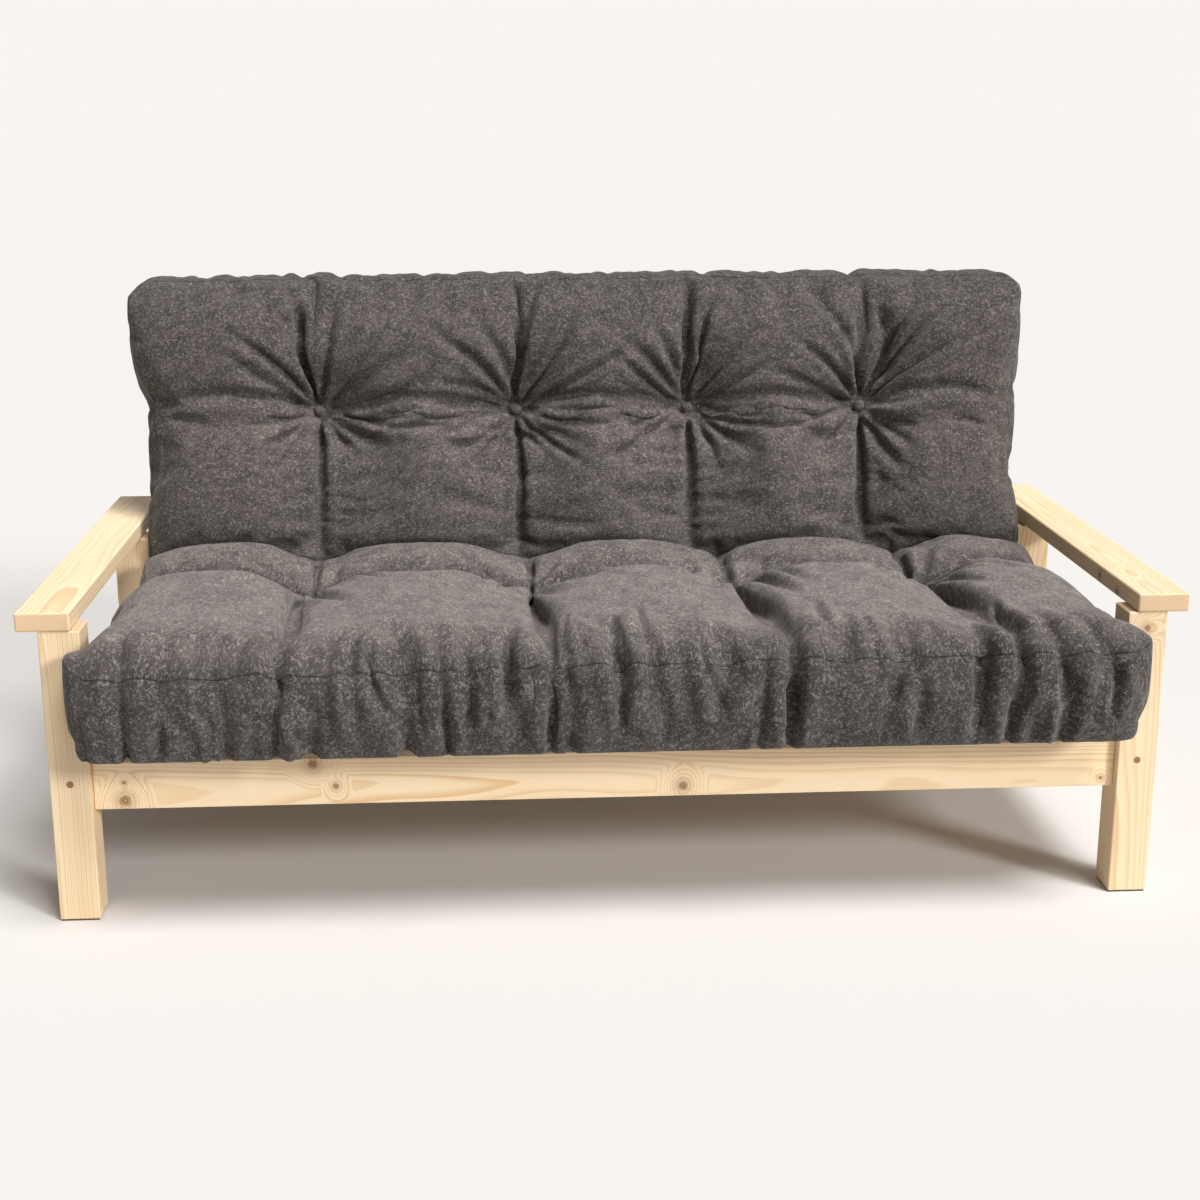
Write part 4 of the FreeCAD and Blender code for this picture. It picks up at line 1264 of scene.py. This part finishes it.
class FUTON_OT_mattress(Operator):
    """Make the folded, tufted mattress that lies on both decks"""

    bl_idname = "futon.mattress"
    bl_label = "Mattress"

    mean_half_length = 0.8
    start_share = 0.6
    bend_height = 0.1

    def execute(self, context):
        sizes = context.scene.futon_mattress
        piece = self.padded_piece(sizes)
        self.gather(piece, sizes)
        make_cloth_group()
        piece.data.materials.append(cloth_material("charcoal cloth", True))
        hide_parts("seat_mattress_cover", "seat_mattress_core", "seat_tuft_twine",
                    "back_mattress_cover", "back_mattress_core", "back_tuft_twine")
        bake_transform(piece)
        return {"FINISHED"}

    def padded_piece(self, sizes):
        """The mattress as its filling leaves it, with the flat place of each point kept in its mesh."""
        columns = 2 * round(sizes.half_width / sizes.cell)
        rows = 2 * round(self.mean_half_length / sizes.cell)
        layers = round(MattressPlan.border / sizes.cell)
        piece = new_piece("mattress", box_of_cells((columns, rows, layers)))
        mesh = piece.data
        flat = rows_of(mesh.vertices, "co")
        plan = MattressPlan(sizes, flat)
        mesh.vertices.foreach_set("co", plan.shape(self.start_share).ravel())
        points = settle(piece, plan, sizes)
        mesh.vertices.foreach_set("co", kept_in_place(points, plan, sizes).ravel())
        add_attribute(mesh, "flat_place", "FLOAT_VECTOR", "vector", flat)
        return piece

    def gather(self, piece, sizes):
        """Splits the cells, lays the folds and writes the attributes that the cloth material reads."""
        mesh = made_finer(piece)
        flat_place = mesh.attributes["flat_place"]
        plan = MattressPlan(sizes, rows_of(flat_place.data, "vector"))
        mesh.attributes.remove(flat_place)
        normals = rows_of(mesh.vertex_normals, "vector")
        points = gathered(rows_of(mesh.vertices, "co"), normals, plan, sizes)
        mesh.vertices.foreach_set("co", kept_clear(points, plan, sizes).ravel())
        add_attribute(mesh, "cloth_place", "FLOAT_VECTOR", "vector", plan.cloth_place())
        add_attribute(mesh, "from_seam", "FLOAT", "value", plan.from_seam())
        # Painted light and shade of the cloth, as an attribute
        add_attribute(mesh, "painted_light", "FLOAT", "value", plan.painted_light())
        shade_smooth(mesh)


# Radius and height of half a button's outline, as shares
BUTTON_OUTLINE = (
    (0.0, 1.0), (0.45, 0.93), (0.80, 0.66), (0.97, 0.34), (0.90, 0.08), (0.55, -0.25), (0.0, -0.25))
BUTTON_STEPS = 28


class FUTON_OT_buttons(Operator):
    """Make the cloth-covered buttons in the tufts"""

    bl_idname = "futon.buttons"
    bl_label = "Tuft Buttons"

    def execute(self, context):
        sizes = context.scene.futon_mattress
        material = cloth_material("button cloth", False)
        seat_turn = Matrix.Identity(4)
        back_turn = Matrix.Rotation(math.pi - BACK_ANGLE, 4, "X") @ Matrix.Rotation(math.pi, 4, "Z")
        height = sizes.tuft + sizes.button_lift
        for deck, tufts, run, place, turn in (("seat", SEAT_TUFTS, sizes.seat_tuft_run, on_seat, seat_turn),
                                              ("back", BACK_TUFTS, sizes.back_tuft_run, on_back, back_turn)):
            cells = bmesh.new()
            for tuft in tufts:
                spot = place(tuft, run, height, sizes.base)
                self.add_button(cells, sizes, Matrix.Translation(spot) @ turn)
            bmesh.ops.recalc_face_normals(cells, faces=list(cells.faces))
            piece = new_piece(f"{deck}_buttons", cells)
            shade_smooth(piece.data)
            piece.data.materials.append(material)
            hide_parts(f"{deck}_tuft_buttons")
            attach(piece, f"{deck}_deck")
        return {"FINISHED"}

    def add_button(self, cells, sizes, place):
        """One domed button, turned from half its outline. Points of finished buttons are tagged."""
        radius = sizes.button_radius
        height = sizes.button_height
        corners = [cells.verts.new((r * radius, 0.0, h * height)) for r, h in BUTTON_OUTLINE]
        edges = [cells.edges.new(pair) for pair in zip(corners, corners[1:])]
        bmesh.ops.spin(cells, geom=corners + edges, cent=(0, 0, 0), axis=(0, 0, 1), dvec=(0, 0, 0),
                       angle=2 * math.pi, steps=BUTTON_STEPS, use_merge=True)
        fresh = [vert for vert in cells.verts if not vert.tag]
        bmesh.ops.remove_doubles(cells, verts=fresh, dist=1e-6)
        fresh = [vert for vert in cells.verts if not vert.tag]
        bmesh.ops.transform(cells, matrix=place, verts=fresh)
        for vert in fresh:
            vert.tag = True


# Stage

FLOOR_SIZE = 60.0
LAMP_PLACE = (0.0, -3.0, 4.0)
SENSOR_WIDTH = 36.0


def seen_directly(tree):
    """1 where the camera, a reflection or glass looks at a surface, and 0 where light only bounces off it."""
    path = node(tree, "ShaderNodeLightPath").outputs
    seen = maths(tree, "ADD", path["Is Camera Ray"], path["Is Glossy Ray"])
    return maths(tree, "ADD", seen, path["Is Transmission Ray"], clamp=True)


def mixed_shader(tree, share, first, second):
    sockets = {0: share, 1: first.outputs[0], 2: second.outputs[0]}
    return node(tree, "ShaderNodeMixShader", sockets).outputs[0]


class FUTON_OT_stage(Operator):
    """Set the floor, the soft light and the camera"""

    bl_idname = "futon.stage"
    bl_label = "Stage"

    def execute(self, context):
        scene = context.scene
        stage = scene.futon_stage
        scene.view_settings.view_transform = "Standard"
        self.add_floor(stage)
        self.add_sky(scene, stage)
        self.add_lamp(scene, "key lamp", stage.key_strength, stage.key_softness, stage.key_tilt,
                      stage.key_turn)
        self.add_lamp(scene, "fill lamp", stage.fill_strength, stage.fill_softness, stage.fill_tilt,
                      stage.fill_turn)
        self.add_camera(scene, stage)
        return {"FINISHED"}

    def add_floor(self, stage):
        """A pale floor that takes shadows, with a little of the backdrop where it is seen."""
        cells = bmesh.new()
        bmesh.ops.create_grid(cells, x_segments=4, y_segments=4, size=FLOOR_SIZE)
        floor = new_piece("floor", cells)
        material = bpy.data.materials.new("pale floor")
        tree = emptied_tree(material)
        matt = node(tree, "ShaderNodeBsdfDiffuse", {"Color": opaque(stage.floor)})
        glow = node(tree, "ShaderNodeEmission", {"Color": opaque(stage.backdrop), "Strength": 1.0})
        share = maths(tree, "MULTIPLY", seen_directly(tree), stage.floor_glow)
        node(tree, "ShaderNodeOutputMaterial", {"Surface": mixed_shader(tree, share, matt, glow)})
        floor.data.materials.append(material)

    def add_sky(self, scene, stage):
        world = bpy.data.worlds.new("pale world")
        tree = emptied_tree(world)
        sky = node(tree, "ShaderNodeBackground", {"Color": opaque(stage.sky), "Strength": stage.sky_strength})
        behind = node(tree, "ShaderNodeBackground", {"Color": opaque(stage.backdrop), "Strength": 1.0})
        surface = mixed_shader(tree, seen_directly(tree), sky, behind)
        node(tree, "ShaderNodeOutputWorld", {"Surface": surface})
        scene.world = world

    def add_lamp(self, scene, name, strength, softness, tilt, turn):
        lamp = bpy.data.lights.new(name, "SUN")
        lamp.energy = strength
        lamp.angle = softness
        piece = bpy.data.objects.new(name, lamp)
        piece.location = LAMP_PLACE
        piece.rotation_euler = (tilt, 0.0, turn)
        scene.collection.objects.link(piece)

    def add_camera(self, scene, stage):
        camera = bpy.data.objects.new("camera", bpy.data.cameras.new("camera"))
        camera.data.lens = stage.lens
        camera.data.sensor_width = SENSOR_WIDTH
        camera.location = stage.camera_place
        camera.rotation_euler = stage.camera_turn
        scene.collection.objects.link(camera)
        scene.camera = camera


class FUTON_PT_sidebar(Panel):
    """The steps that finish the sofa"""

    bl_label = "Futon Sofa"
    bl_idname = "FUTON_PT_sidebar"
    bl_space_type = "VIEW_3D"
    bl_region_type = "UI"
    bl_category = "Futon"

    def draw(self, context):
        for operator in OPERATORS:
            self.layout.operator(operator.bl_idname)
        for group in SETTINGS:
            settings = getattr(context.scene, group)
            for name in settings.__annotations__:
                self.layout.prop(settings, name)


OPERATORS = (FUTON_OT_stage, FUTON_OT_frame_timber, FUTON_OT_deck_timber, FUTON_OT_hardware,
             FUTON_OT_mattress, FUTON_OT_buttons)
SETTINGS = {"futon_timber": TimberSettings, "futon_cloth": ClothSettings,
            "futon_mattress": MattressSettings, "futon_stage": StageSettings}


def register():
    for group, settings in SETTINGS.items():
        bpy.utils.register_class(settings)
        setattr(bpy.types.Scene, group, PointerProperty(type=settings))
    for kind in OPERATORS + (FUTON_PT_sidebar,):
        bpy.utils.register_class(kind)


def unregister():
    for kind in reversed(OPERATORS + (FUTON_PT_sidebar,)):
        bpy.utils.unregister_class(kind)
    for group, settings in SETTINGS.items():
        delattr(bpy.types.Scene, group)
        bpy.utils.unregister_class(settings)


def main():
    register()
    bpy.ops.futon.stage()
    bpy.ops.futon.frame_timber()
    bpy.ops.futon.deck_timber()
    bpy.ops.futon.hardware()
    bpy.ops.futon.mattress()
    bpy.ops.futon.buttons()


if __name__ == "__main__":
    main()
